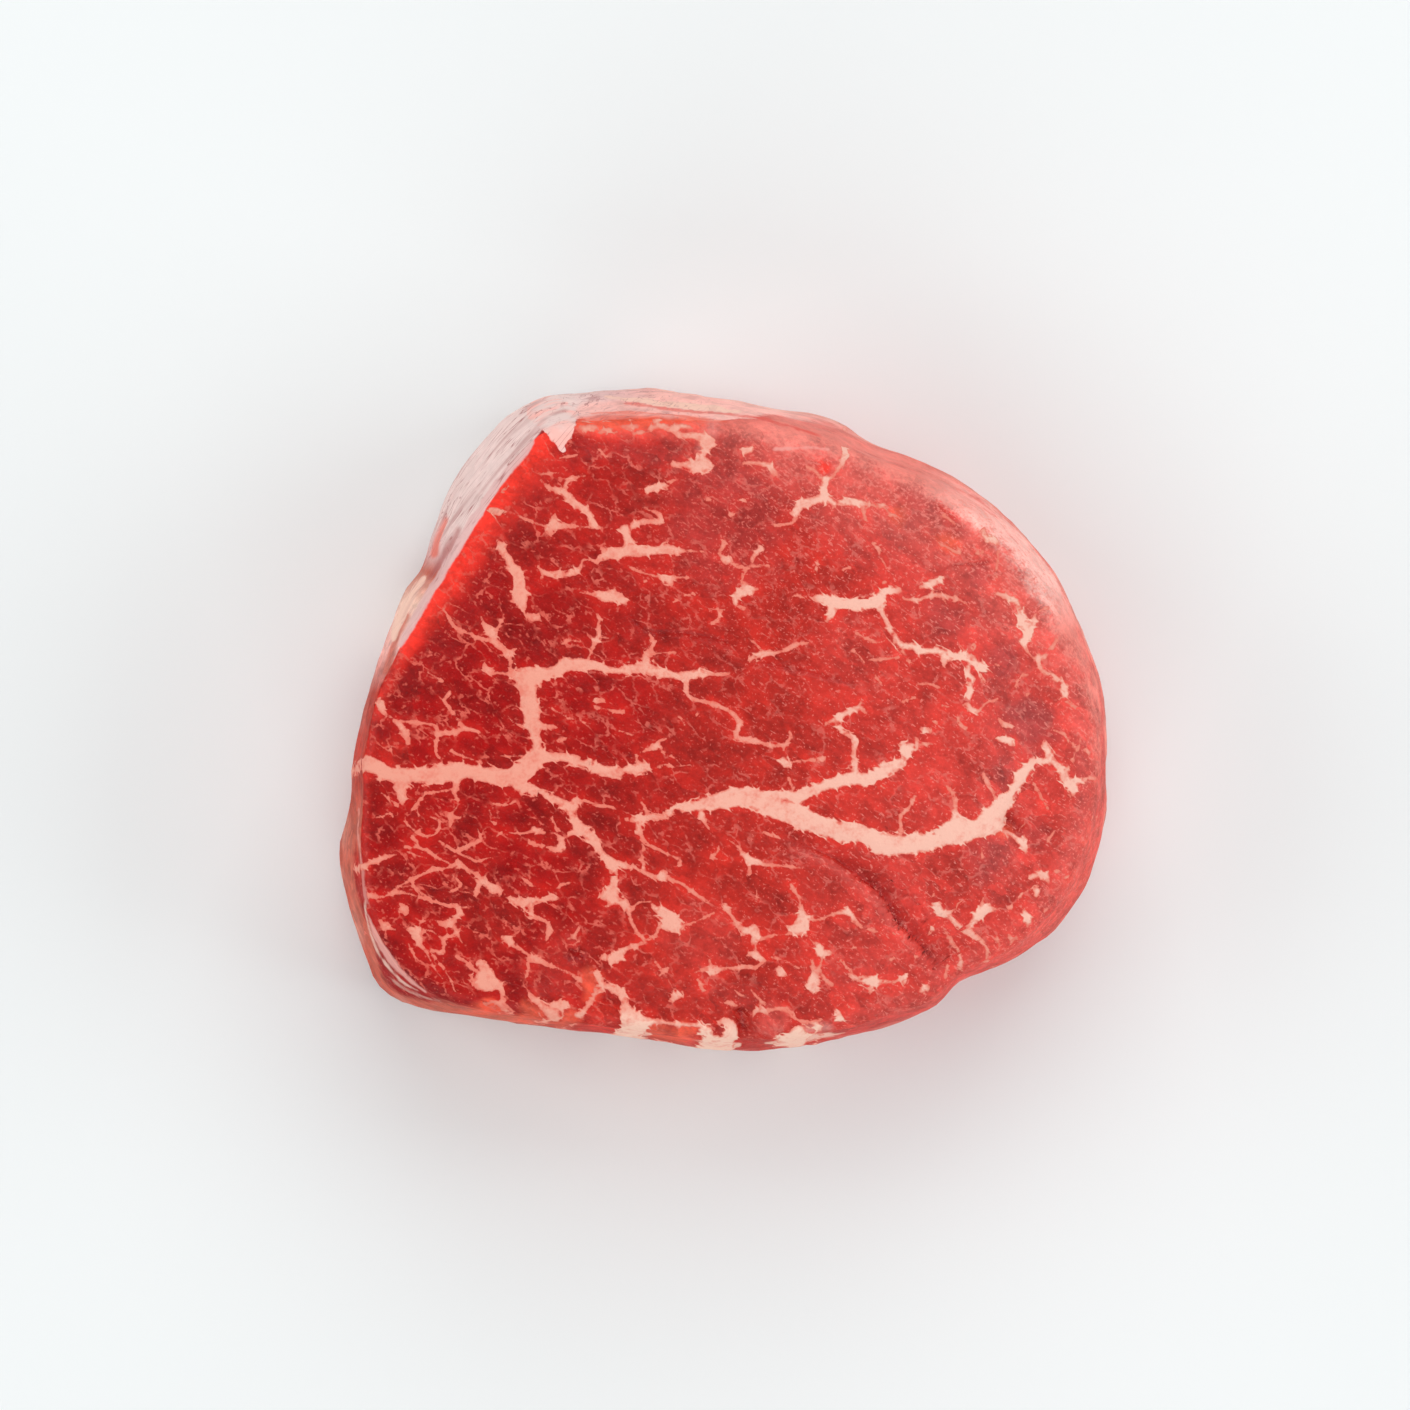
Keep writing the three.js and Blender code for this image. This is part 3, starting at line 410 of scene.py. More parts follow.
# %% Seams of the south, the south-east lobe and its valley
SOUTH = [
    [(-15.2, -30, 0.7), (-14.9, -31, 0.8), (-13.2, -31.9, 0.9), (-12.5, -32.2, 1.1), (-11.7, -33.9, 0.9),
     (-11.3, -34.8, 1.5), (-11, -35.7, 2.4), (-10.5, -36.5, 2.2), (-9.5, -35.7, 1.3), (-8.4, -35.5, 0.7)],
    [(-15.4, -31.6, 0.6), (-15.6, -32.6, 0.5), (-16.7, -34.3, 0.6), (-17.5, -34.8, 0.8)],
    [(-8.8, -21.8, 0.5), (-8.4, -22.3, 0.9), (-7.6, -22.7, 1.2), (-6.9, -23.3, 1.7), (-6.6, -24, 2.1),
     (-5.9, -24.4, 1.5), (-4.9, -24.8, 0.3)],
    [(-8, -24.4, 0.6), (-8.5, -25.5, 0.4), (-9.8, -26.3, 0.6), (-11.6, -26.9, 0.6), (-12.4, -27.4, 1.0),
     (-12.8, -28, 1.3), (-13.6, -28.3, 1.2), (-14.7, -27.8, 0.3)],
    [(-11.3, -22.5, 0.3), (-10.3, -21.6, 0.35), (-9, -21.5, 0.3)],
    [(-1, -15, 0.2), (-1.2, -15.8, 0.35), (-1.9, -16.3, 0.3), (-0.4, -16.7, 0.2)],
    [(0.1, -14.2, 0.25), (1.3, -15.1, 0.4), (1.8, -15.8, 0.5), (2.3, -16.4, 0.8), (3, -16.7, 1.1),
     (3.7, -16.9, 0.8), (4.5, -17.2, 0.35), (7.5, -17.4, 0.3), (8.9, -17.7, 0.2)],
    [(2.6, -17.5, 0.3), (2.6, -18.3, 0.25)],
    [(3.4, -20, 0.25), (3.5, -21, 0.25)],
    [(-2.1, -28.3, 0.3), (-1.9, -29.1, 0.5), (-1.9, -29.6, 0.8), (-0.2, -29.3, 0.5), (2.8, -29.2, 0.5)],
    [(-7, -29.3, 0.4), (-7.9, -30.2, 0.35)],
    [(-3.4, -30.6, 0.4), (-2.8, -31.8, 0.4)],
    [(-0.2, -22, 0.6), (0.6, -23.3, 0.4), (1.7, -24.6, 0.6), (2.4, -24.9, 1.1), (3, -24.7, 1.3),
     (3.3, -25.5, 1.2), (3.1, -26.1, 0.7), (2.9, -26.5, 0.3)],
    [(2.3, -27.8, 0.3), (3.1, -27.6, 0.8), (3.7, -28, 0.8), (4.3, -28.4, 0.4)],
    [(-5.9, -32.6, 0.9), (-6.7, -33.1, 0.5)],
    [(-3, -36.6, 0.9), (-2.2, -36.8, 1.3), (-1.8, -37.6, 1.3), (-0.6, -37.8, 1.3), (0.5, -37.2, 1.7),
     (0.6, -36.2, 1.4), (0, -35.6, 0.8), (-0.8, -35.6, 0.5)],
    [(3, -34.7, 0.4), (3.6, -34.2, 0.6), (4.5, -34.3, 0.6), (5.5, -34.1, 0.35), (6.8, -34, 0.35),
     (7.6, -34.6, 0.4), (8.2, -35.4, 0.25)],
    [(8.6, -35.4, 0.3), (9.8, -35.6, 0.4), (11, -35.4, 0.3)],
    [(-12.2, -34.2, 0.6), (-11, -34.9, 1.0), (-9.6, -35.4, 1.0), (-8, -35.4, 0.4)],
    [(-8.2, -35.4, 0.4), (-6.4, -35.8, 0.6), (-4.6, -35.9, 0.6), (-3.2, -36, 0.8)],
    [(-5.4, -24.4, 0.35), (-3.6, -23.8, 0.2), (-1.6, -22.8, 0.25)],
    [(3.4, -26, 0.4), (3.3, -27.2, 0.35), (3.5, -27.9, 0.6)],
    [(3.8, -25.8, 0.3), (5.6, -25.4, 0.2), (7, -25.3, 0.25), (8.2, -24.6, 0.4)],
    [(8.8, -25, 0.3), (10, -26.2, 0.3), (10.9, -27, 0.5)],
    [(11.1, -27.8, 0.5), (10.8, -29, 0.3), (10.4, -30.2, 0.6)],
    [(-3.8, -29.8, 0.25), (-2.6, -29.4, 0.3), (-1.6, -29.3, 0.3)],
    [(3.1, -29.3, 0.3), (4.2, -28.7, 0.2)],
    [(-8.4, -28.6, 0.15), (-7.2, -30.2, 0.2), (-6.4, -31.6, 0.2)],
    [(14.4, -30.2, 0.4), (15.6, -30.5, 0.8), (16.9, -31, 1.0), (18.2, -30.9, 0.7), (19.6, -30.9, 0.4)],
    [(16.9, -31.2, 0.5), (16.8, -32.6, 0.3)],
    [(4.3, -13.3, 0.3), (5, -13.7, 0.5), (6, -14, 0.3)],
    [(-11, -35.7, 2.4), (-10.8, -36.6, 2.6), (-10.8, -38.2, 2.6)],
    [(-2.4, -37.6, 1.2), (-1, -38.4, 1.4), (0.8, -38.5, 1.2)],
    [(6.2, -37.6, 0.8), (7.4, -37.4, 1.1), (8.3, -36.8, 1.7), (9.4, -37.4, 1.2)],
    [(6.8, -38.4, 1.0), (9.5, -38.2, 1.3), (11.5, -37.7, 1.0), (12.8, -37.5, 0.5)],
    [(10, -35.6, 0.4), (10.5, -36, 0.9), (10.9, -36.3, 0.6)],
    [(15.3, -37.2, 0.7), (16.5, -36.6, 1.2), (17.8, -36.3, 0.8)],
    [(0.9, -31.9, 0.3), (1.4, -32.3, 0.4), (1.8, -32.6, 0.3)],
    [(2.8, -31.9, 0.25), (3.4, -32.6, 0.4), (4.2, -33.3, 0.4)],
    [(-0.2, -33.4, 0.3), (0.6, -33.4, 0.5), (1, -33.6, 0.3)],
    [(5.2, -28, 0.25), (6.4, -28.3, 0.25), (7, -28.5, 0.35), (8.4, -29.3, 0.35)],
    [(6, -29.4, 0.5), (6.4, -29.8, 0.7), (6.8, -30.2, 0.3)],
]
SOUTH_EAST = [
    [(7.6, -19.7, 0.4), (8.3, -21, 0.35), (8.8, -22.5, 0.6), (8.8, -23.2, 1.2), (8.7, -24, 1.8),
     (8.2, -24.6, 1.5), (7.2, -24.5, 0.5)],
    [(9.8, -23.5, 0.6), (10.4, -23.7, 0.35), (12, -23.1, 0.3), (14.2, -22.7, 0.8), (15.2, -24, 0.35),
     (16.8, -24.8, 0.3), (20.3, -25.5, 0.15)],
    [(10.4, -26.3, 0.5), (10.8, -26.9, 1.0), (10.9, -27.5, 1.0), (11.7, -27.5, 0.6)],
    [(9.9, -28.3, 0.5), (10.1, -29.2, 0.35), (10.2, -30, 0.6), (9.9, -30.6, 1.0), (10, -31.5, 1.3),
     (10.1, -32.1, 0.8)],
    [(15.8, -30.3, 0.4), (16.5, -30.6, 0.9), (17.1, -30.6, 1.0), (16.9, -31.3, 0.7), (17, -31.8, 0.3)],
    [(19.5, -31, 0.3), (20.2, -30.7, 0.6), (20.8, -30.5, 0.8), (20.8, -31.1, 0.6)],
    [(22.6, -32.1, 0.4), (23, -31.8, 0.8), (23.4, -31.4, 0.5)],
    [(13.1, -34.6, 0.7), (13.3, -35.2, 0.9)],
    [(10.8, -29.5, 0.3), (11.5, -30.6, 0.35), (12.2, -31.2, 0.3)],
    [(13.3, -28.4, 0.25), (13.9, -29, 0.3), (14.6, -29.8, 0.25)],
    [(13.3, -32.7, 0.4), (13.8, -33.2, 0.5), (14.4, -34, 0.3)],
    [(28, -21.2, 0.2), (27, -21.8, 0.3), (26.8, -22.8, 0.25)],
    [(31.6, -25.8, 0.3), (31.9, -26.4, 0.4), (32, -27.2, 0.25)],
    [(33.1, -25.4, 0.3), (33.4, -26.3, 0.45), (33.2, -28, 0.3)],
    [(33.5, -26.3, 0.35), (34, -25.8, 0.25)],
    [(24, -24.7, 0.6), (23.9, -25.3, 0.5), (23.6, -25.9, 0.3)],
    [(25.9, -29, 0.4), (25.9, -29.6, 0.3), (25.7, -30.4, 0.2)],
    [(24.2, -20.4, 0.25), (24.2, -21.2, 0.7), (24.6, -21.9, 1.1), (24.9, -22.6, 0.9), (26.2, -23.6, 0.6),
     (28.5, -25.3, 0.6), (30.3, -26.8, 0.4), (30.5, -28.3, 0.5), (30, -29.8, 0.3)],
    [(30, -21.2, 0.25), (29.8, -22, 0.5), (30, -22.6, 1.2), (29.4, -23.2, 1.2), (28.4, -24.5, 0.6)],
    [(30.4, -22.4, 0.8), (30.8, -22.3, 0.7), (31.4, -22.4, 0.25)],
    [(25.3, -24.5, 0.3), (26.2, -26, 0.35), (27.2, -27.5, 0.6), (27.5, -29.3, 0.5), (28, -31, 0.2)],
    [(34.8, -22.4, 0.4), (35, -23.1, 0.8), (35.4, -23.8, 0.8), (35.3, -24.5, 0.4)],
    [(34.4, -20.7, 0.5), (34.4, -21.1, 0.4)],
    [(35.6, -18.7, 0.7), (36.3, -18.5, 0.6), (37.5, -18.6, 0.7), (37.8, -19.5, 0.3)],
    [(36.3, -20.3, 0.7), (36.3, -20.8, 0.6)],
    [(38.4, -13.4, 0.4), (37.6, -14.7, 0.3)],
    [(36, -7.8, 0.2), (37.6, -10.8, 0.2)],
    [(29.8, -15.2, 0.25), (29.9, -16.3, 0.2)],
]
SHOULDER_MARKS = [
    [(30.2, 21.9, 0.4), (30.1, 21.2, 0.6), (30.7, 20.7, 0.9), (31.4, 20.6, 0.8), (31.8, 20.3, 0.4)],
    [(32, 19.3, 0.3), (31.8, 18.2, 0.3), (31.7, 17.3, 0.3)],
    [(29.4, 19.2, 0.4), (30, 19.3, 0.3)],
    [(23.3, 21.7, 0.15), (25, 20.3, 0.2), (26.3, 19.6, 0.25), (27, 19.2, 0.35)],
    [(25, 28.3, 0.25), (26, 27.3, 0.3)],
    [(22, 29.6, 0.4), (22.7, 28.2, 0.4)],
]
FLECKS = [  # single dots of fat
    (18.4, 15.8, 0.35), (2.4, 31.2, 0.8), (0.4, 23.8, 0.4), (-26, 26.7, 0.5), (35.3, 2.6, 0.25),
    (-16.8, 28.2, 0.3), (43.3, -12, 0.6), (38.7, -18.2, 0.4), (40, -18.8, 0.5), (37.5, -22.7, 0.3),
    (38, -23.6, 0.35), (33.2, -22.2, 0.4), (19.3, -28.2, 0.3), (22.1, -28, 0.3), (14.8, -26.9, 0.3),
    (36.2, 16.2, 0.3), (31.5, 16.2, 0.4), (18.2, 24.7, 0.5),
]
SEAMS = [
    *WEST_TRUNK, *WEST_CELLS, *NORTH_BRANCH, *BIG_CELL, *SOUTH_FALL, *EAST_TRUNK, *EAST_ARM,
    *NORTH_EAST, *EAST_CHAIN, *NORTH_WEST, *NORTH, *SOUTH_WEST, *SOUTH, *SOUTH_EAST, *SHOULDER_MARKS,
    *([(x - size / 3, y, size), (x + size / 3, y + size / 5, size)] for x, y, size in FLECKS),
]
print(len(SEAMS), "seams of fat are drawn")

# %% [markdown]
# A route is smoothed with a Catmull-Rom curve, and the distance from it less half its width is
# the distance to the border of its fat, negative inside. Where seams meet, a smooth minimum
# fills the corner between them, as real fat webs there.

# %% Distance to the fat
ROUTE_STEP = 0.4  # mm between the points of a smoothed route
SEAM_REACH = 2.0  # mm past a seam at which its distance is no longer asked for
THIN_TO_BROAD = (0.3, 0.9)  # mm: widths of a thin and of a broad seam
SEAM_SWELL = (-0.02, 0.04)  # mm added to half the width of the one and of the other
WEB = 0.35  # mm over which two seams melt together


def smooth_route(points):
    """Points about every ROUTE_STEP mm on a Catmull-Rom curve through a route."""
    route = np.array(points, float)
    padded = np.vstack([2 * route[0] - route[1], route, 2 * route[-1] - route[-2]])
    curve = [route[:1]]
    for before, start, end, after in zip(padded, padded[1:], padded[2:], padded[3:]):
        count = max(1, math.ceil(np.hypot(*(end - start)[:2]) / ROUTE_STEP))
        t = (np.arange(1, count + 1) / count)[:, None]
        bend = (2 * before - 5 * start + 4 * end - after) * t**2
        bend += (3 * start - before - 3 * end + after) * t**3
        curve.append(start + ((end - before) * t + bend) / 2)
    return np.vstack(curve)


def route_distance(x, y, curve, reach=SEAM_REACH):
    """Points x, y against a smoothed route: mm from its border, share along it, its width there."""
    gap = np.full(len(x), reach)
    along, width = np.zeros((2, len(x)))
    low, high = curve[:, :2].min(0) - reach, curve[:, :2].max(0) + reach
    near = np.flatnonzero((x > low[0]) & (x < high[0]) & (y > low[1]) & (y < high[1]))
    start, run = curve[:-1], np.diff(curve, axis=0)
    to = np.stack([x[near], y[near]], 1)[:, None] - start[:, :2]
    share = np.clip((to * run[:, :2]).sum(2) / (run[:, :2] ** 2).sum(1), 0, 1)
    off = np.linalg.norm(to - share[..., None] * run[:, :2], axis=2)
    widths = start[:, 2] + share * run[:, 2]
    border = off - widths / 2
    leg = border.argmin(1)
    rows = np.arange(len(near))
    gap[near] = np.minimum(border[rows, leg], reach)
    along[near] = (leg + share[rows, leg]) / len(run)
    width[near] = widths[rows, leg]
    return gap, along, width


def melt(a, b, width):
    """Smooth minimum of two distances."""
    share = np.clip(0.5 + 0.5 * (b - a) / width, 0, 1)
    return b + (a - b) * share - width * share * (1 - share)


BROAD = 0.65  # mm: the lower face's mesh is refined for seams that are somewhere broader than this
SEAM_CURVES = [smooth_route(route) for route in SEAMS]
BASE_CURVES = [curve for curve in SEAM_CURVES if curve[:, 2].max() > BROAD]


def fat_distance(x, y, curves):
    """Distance in mm to the nearest border of fat, negative inside it, and that seam's width."""
    nearest = np.full(len(x), SEAM_REACH)
    girth = np.zeros(len(x))
    for curve in curves:
        gap, _, width = route_distance(x, y, curve)
        near = gap < SEAM_REACH
        girth = np.where(gap < nearest, width, girth)
        swell = np.interp(width[near], THIN_TO_BROAD, SEAM_SWELL)
        nearest[near] = melt(nearest[near], gap[near] - swell, WEB)
    return nearest, girth


print("longest seam:", max(len(c) for c in SEAM_CURVES) * ROUTE_STEP, "mm about")

# %% [markdown]
# ## Where the seams come out
# A seam is a sheet of fat that goes right through the slice. The lower cut face shows the same
# seams, drifted a little, and the wall shows a streak where a sheet reaches the rim. So every
# point of the surface is traced back along the sheets to its place on the upper face's drawing.

# %% Trace a point back to the drawing of the upper face
RIM = [
    (44, -5), (42.3, 6.5), (34.9, 19.8), (23.8, 28.4), (5.5, 34.6), (-15.5, 34.9), (-21.6, 33.9),
    (-39.8, 5.5), (-43, -8), (-42.4, -22), (-39.8, -28.2), (-34.6, -32.6), (-17.5, -35.7), (1, -38),
    (9.5, -37.4), (23.6, -33.7), (26.8, -31.2), (38, -23.9), (43.4, -13),
]
WALL_EDGE = [  # compass angle in degrees, upward tilt of the normal at which the wall takes over
    (0, 0.2), (80, 0.2), (92, 0.42), (104, 0.62), (160, 0.62), (178, 0.45), (200, 0.3), (240, 0.22),
    (300, 0.2),
]
WALL_BLUR = 0.15  # tilt over which it does so
WALL_FOOT = (0.2, 1.5)  # mm above the table between which the wall comes in
BASE_EDGE = (1.5, 0.3)  # mm above the table between which the lower face comes in
WALL_TRACE = 1.0  # mm inside the rim at which the wall reads the drawing
BASE_SHRINK = 0.95  # the lower face's pattern against the upper one's
BASE_DRIFT = np.array([1.6, -1.1])  # mm
rim_loop = smooth_route([(*p, 0) for p in RIM + RIM[:3]])
rim_loop = rim_loop[np.hypot(*(rim_loop[:, :2] - np.array(RIM[1])).T).argmin():]
rim_angle = np.degrees(np.arctan2(rim_loop[:, 1], rim_loop[:, 0])) % 360
rim_order = rim_angle.argsort()


def around(pairs, at):
    """A list of (compass angle in degrees, value) read at any angle."""
    angles, values = zip(*pairs)
    return np.interp(at, angles, values, period=360)


def rim_radius(angle):
    """The upper rim's distance from the drawing's middle, by compass angle in degrees."""
    radius = np.hypot(rim_loop[:, 0], rim_loop[:, 1])
    return np.interp(angle, rim_angle[rim_order], radius[rim_order], period=360)


def smooth(low, high, value):
    """0 below low, 1 above high and eased between them; low may be the larger."""
    share = np.clip((value - low) / (high - low), 0, 1)
    return share * share * (3 - 2 * share)


def drawing_places(points, normals):
    """Each point's place on the drawing: x, y, and how much it is of the wall and of the base."""
    x, y = (points[:, :2] / MM + DRAWING_MIDDLE).T
    z = points[:, 2] / MM
    angle = np.degrees(np.arctan2(y, x)) % 360
    edge = around(WALL_EDGE, angle)
    wall = smooth(edge, edge - WALL_BLUR, np.abs(normals[:, 2])) * smooth(*WALL_FOOT, z)
    base = smooth(*BASE_EDGE, z)
    pull = (rim_radius(angle) - WALL_TRACE) / np.hypot(x, y).clip(1)
    depth = 1 - np.clip(z / THICKNESS, 0, 1)
    traced = np.stack([x, y], 1) * (1 + (pull - 1) * wall)[:, None]
    traced = traced * (1 - (1 - BASE_SHRINK) * depth[:, None]) + BASE_DRIFT * depth[:, None]
    return traced[:, 0], traced[:, 1], z, angle, wall, base


print("rim reaches", round(float(rim_radius(np.arange(0, 360, 1.0)).max()), 1), "mm from the middle")

# %% [markdown]
# ## Folds and creases
# Raw meat is soft, so the slice slumps: one lobe has slid over its neighbour and left a valley
# behind its lip, and smaller creases follow the films between the muscles. Each is a route with
# the raised lip on its left and the valley on its right. Small pits and shreds are single spots.

# %% Creases and spots
CREASES = [  # mm: groove's depth and half width, lip's height and reach, valley's depth and reach
    # wet: how wet its floor is, and how much shade is painted on it there; fade: shares of the route over
    # which its start and end run out
    {"route": [(25.4, -33), (24.8, -31), (24.1, -29), (23.2, -27.7), (22, -26.3), (20.6, -25.1),
               (19.6, -24), (18.8, -22.5), (18, -21.3), (17, -20.2), (15.6, -19.2), (14.3, -18.2),
               (12.5, -16.9), (10, -15.7), (7.5, -14.9), (4.5, -13.9)],
     "groove": (0.08, 0.25), "lip": (0.4, 2.4), "valley": (0.6, 3.0), "wet_and_shade": 1.0, "fade": (0.38, 0.5)},
    {"route": [(23.9, -25.3), (22.6, -23), (20.4, -20.6), (17.6, -19.2)],
     "groove": (0.1, 0.3), "lip": (0.12, 1.2), "valley": (0.15, 1.2), "wet_and_shade": 0.35},
    {"route": [(32, 17.9), (29.5, 17.5), (27.5, 17.4), (26, 17), (24.5, 16), (22.8, 15.9)],
     "groove": (0.2, 0.2), "lip": (0.15, 1.4), "valley": (0.2, 1.2), "wet_and_shade": 0.6, "fade": (0.15, 0.6)},
    {"route": [(15, 3.2), (13, 4), (9, 5), (5.5, 5.7), (2.5, 6.5)],
     "groove": (0.12, 0.3), "lip": (0.1, 1.8), "valley": (0.12, 1.5), "wet_and_shade": 0.45},
    {"route": [(-12, 13.6), (-10.6, 11.8), (-8.8, 10.5), (-5, 10.3), (-3, 10), (-1.2, 9.6), (0.4, 9),
               (2.6, 7.8)],
     "groove": (0.2, 0.22), "lip": (0.08, 1.0), "valley": (0.05, 0.8), "wet_and_shade": 0.6},
    {"route": [(-31, 19.6), (-30.3, 18.3), (-30, 17.2)],
     "groove": (0.12, 0.25), "lip": (0.05, 0.8), "valley": (0, 1), "wet_and_shade": 0.4},
    {"route": [(1.9, -33.8), (2.3, -35.4), (2.6, -37.2)],
     "groove": (0.7, 0.6), "lip": (0.15, 1.2), "valley": (0, 1), "wet_and_shade": 1.0},
    {"route": [(-18.6, -26.9), (-17.8, -27.1), (-17.2, -26.6)],
     "groove": (0.5, 0.35), "lip": (0, 1), "valley": (0, 1), "wet_and_shade": 1.0},
    {"route": [(-8, -8.2), (-6.4, -7.2), (-5, -6.9)],
     "groove": (0.1, 0.3), "lip": (0.05, 0.8), "valley": (0, 1), "wet_and_shade": 0.3},
]
# A spot's wetness is also the share of painted shade laid in its hollow.
SPOTS = [  # place, radius and rise in mm, how wet and dark it is
    {"at": (33.2, -12.1), "radius": 0.9, "rise": -0.8, "wet_and_shade": 1.0},
    {"at": (34.4, -13), "radius": 0.5, "rise": -0.4, "wet_and_shade": 0.8},
    {"at": (6.5, -32.8), "radius": 0.8, "rise": -0.2, "wet_and_shade": 0.6},
    {"at": (-14.4, -32.9), "radius": 0.5, "rise": -0.15, "wet_and_shade": 0.8},
    {"at": (-21.2, -27.7), "radius": 0.35, "rise": -0.1, "wet_and_shade": 0.5},
    {"at": (28.9, 5.1), "radius": 0.3, "rise": -0.1, "wet_and_shade": 0.6},
    {"at": (-1, -36.4), "radius": 0.5, "rise": -0.2, "wet_and_shade": 0.7},
    {"at": (-17.9, -25.5), "radius": 0.7, "rise": 0.5, "wet_and_shade": 0.0},
    {"at": (5.6, -35.6), "radius": 1.3, "rise": 0.4, "wet_and_shade": 0.0},
    {"at": (36.3, -20.5), "radius": 0.4, "rise": 0.15, "wet_and_shade": 0.0},
]
for crease in CREASES:
    crease["curve"] = smooth_route([(*place, 2 * crease["groove"][1]) for place in crease["route"]])
CREASE_CURVES = [crease["curve"] for crease in CREASES]
print(len(CREASES), "creases and", len(SPOTS), "spots")

# %% [markdown]
# ## Colours, and where they go
# The lean isn't one red. It is deep on the west, where the cut is fresh, and pinker towards the
# soft east shoulder, whose paler pink is partly painted sheen and glow where it curves down; a
# bright band, a painted glow, lies along the north-west rim, where light goes through the thin
# edge, and the flank is silver, brown and cream by turns. Such broad changes are washes,
# listed here and painted on the vertices once the mesh is fine enough.

# %% Pigments
MIRRORED = 0.009  # light that the wet surface mirrors over every colour


def pigment(red, green, blue):
    """A colour as seen on a screen, 0 to 255, as linear light, less what the surface mirrors."""
    seen = np.array([red, green, blue]) / 255
    linear = np.where(seen <= 0.04045, seen / 12.92, ((seen + 0.055) / 1.055) ** 2.4)
    return (linear - MIRRORED).clip(0.002)


DEEP_RED = pigment(156, 26, 23)
LEAN_RED = pigment(184, 48, 41)
PINK_RED = pigment(208, 68, 61)
BRIGHT_RED = pigment(240, 60, 48)
SHOULDER_PINK = pigment(231, 106, 97)
RIM_PINK = pigment(236, 133, 121)
LOW_PINK = pigment(230, 94, 82)
# a dull purplish pink: partly the lean's own tone, partly painted sheen of its wet surface
PURPLE_TONE_AND_SHEEN = pigment(172, 66, 64)
DARK_TONE_AND_SHADE_RED = pigment(146, 22, 18)
AMBER = pigment(240, 98, 72)
SILVER = pigment(240, 210, 204)
LILAC = pigment(230, 184, 180)
TISSUE_PINK = pigment(255, 191, 180)
CREAM = pigment(250, 204, 184)
FLANK_BROWN = pigment(202, 98, 78)
FLANK_RED = pigment(188, 64, 50)
FLANK_CREAM = pigment(236, 196, 180)

# %% [markdown]
# Each wash is a colour and a mask from 0 to 1. The masks come from the place on the drawing, the
# compass angle round the steak and the depth in from the rim. Streaks that can be followed by
# eye, such as the cream line below the rim, are strokes: routes with a width, as the seams are.

# %% Where the washes go
RED_BAND = [(92, 0), (104, 0.9), (125, 1), (165, 1), (172, 0.6), (195, 0.35), (215, 0)]
RED_BAND_WIDTH = [(92, 2), (104, 3), (125, 5), (160, 4.2), (172, 2.4), (215, 1.5)]
SHOULDER = [(0, 0.4), (20, 0.8), (80, 0.8), (96, 0.3), (104, 0), (280, 0), (300, 0.15), (340, 0.35)]
SHOULDER_REACH = [(0, 6), (20, 12), (60, 14), (90, 7), (300, 4)]
PINK_RIM = [(0, 0.6), (12, 0.9), (30, 1.0), (60, 1.0), (80, 0.9), (96, 0.7), (104, 0), (225, 0), (262, 0.2),
            (300, 0.3), (330, 0.4)]
PINK_RIM_WIDTH = [(0, 2.4), (12, 3.6), (60, 4.4), (80, 5.0), (96, 3.6), (262, 1.0), (300, 1.4), (330, 1.8)]
RIM_TONES = [
    (0, RIM_PINK), (14, RIM_PINK), (22, TISSUE_PINK), (34, TISSUE_PINK), (52, RIM_PINK), (80, RIM_PINK),
    (100, LOW_PINK), (250, AMBER), (290, LOW_PINK), (340, LOW_PINK),
]
FLANK_TONES = [
    (0, RIM_PINK), (60, RIM_PINK), (78, TISSUE_PINK), (102, TISSUE_PINK), (110, LILAC), (116, SILVER),
    (146, SILVER), (151, LILAC), (154, FLANK_BROWN), (160, CREAM), (168, TISSUE_PINK), (176, FLANK_RED),
    (190, FLANK_RED), (195, FLANK_BROWN), (236, FLANK_BROWN), (244, LEAN_RED), (290, PINK_RED),
    (310, PINK_RED), (335, LOW_PINK),
]
LOWER_FLANK = [(0, 0.35), (50, 0.35), (85, 0.2), (108, 0), (150, 0), (158, 0.3), (230, 0.4), (300, 0.3)]
SKIN = [(0, 0), (85, 0.15), (104, 0.8), (112, 1), (150, 1), (160, 0.4), (175, 0.15), (215, 0.15), (222, 0.4),
        (236, 0.3), (242, 0)]
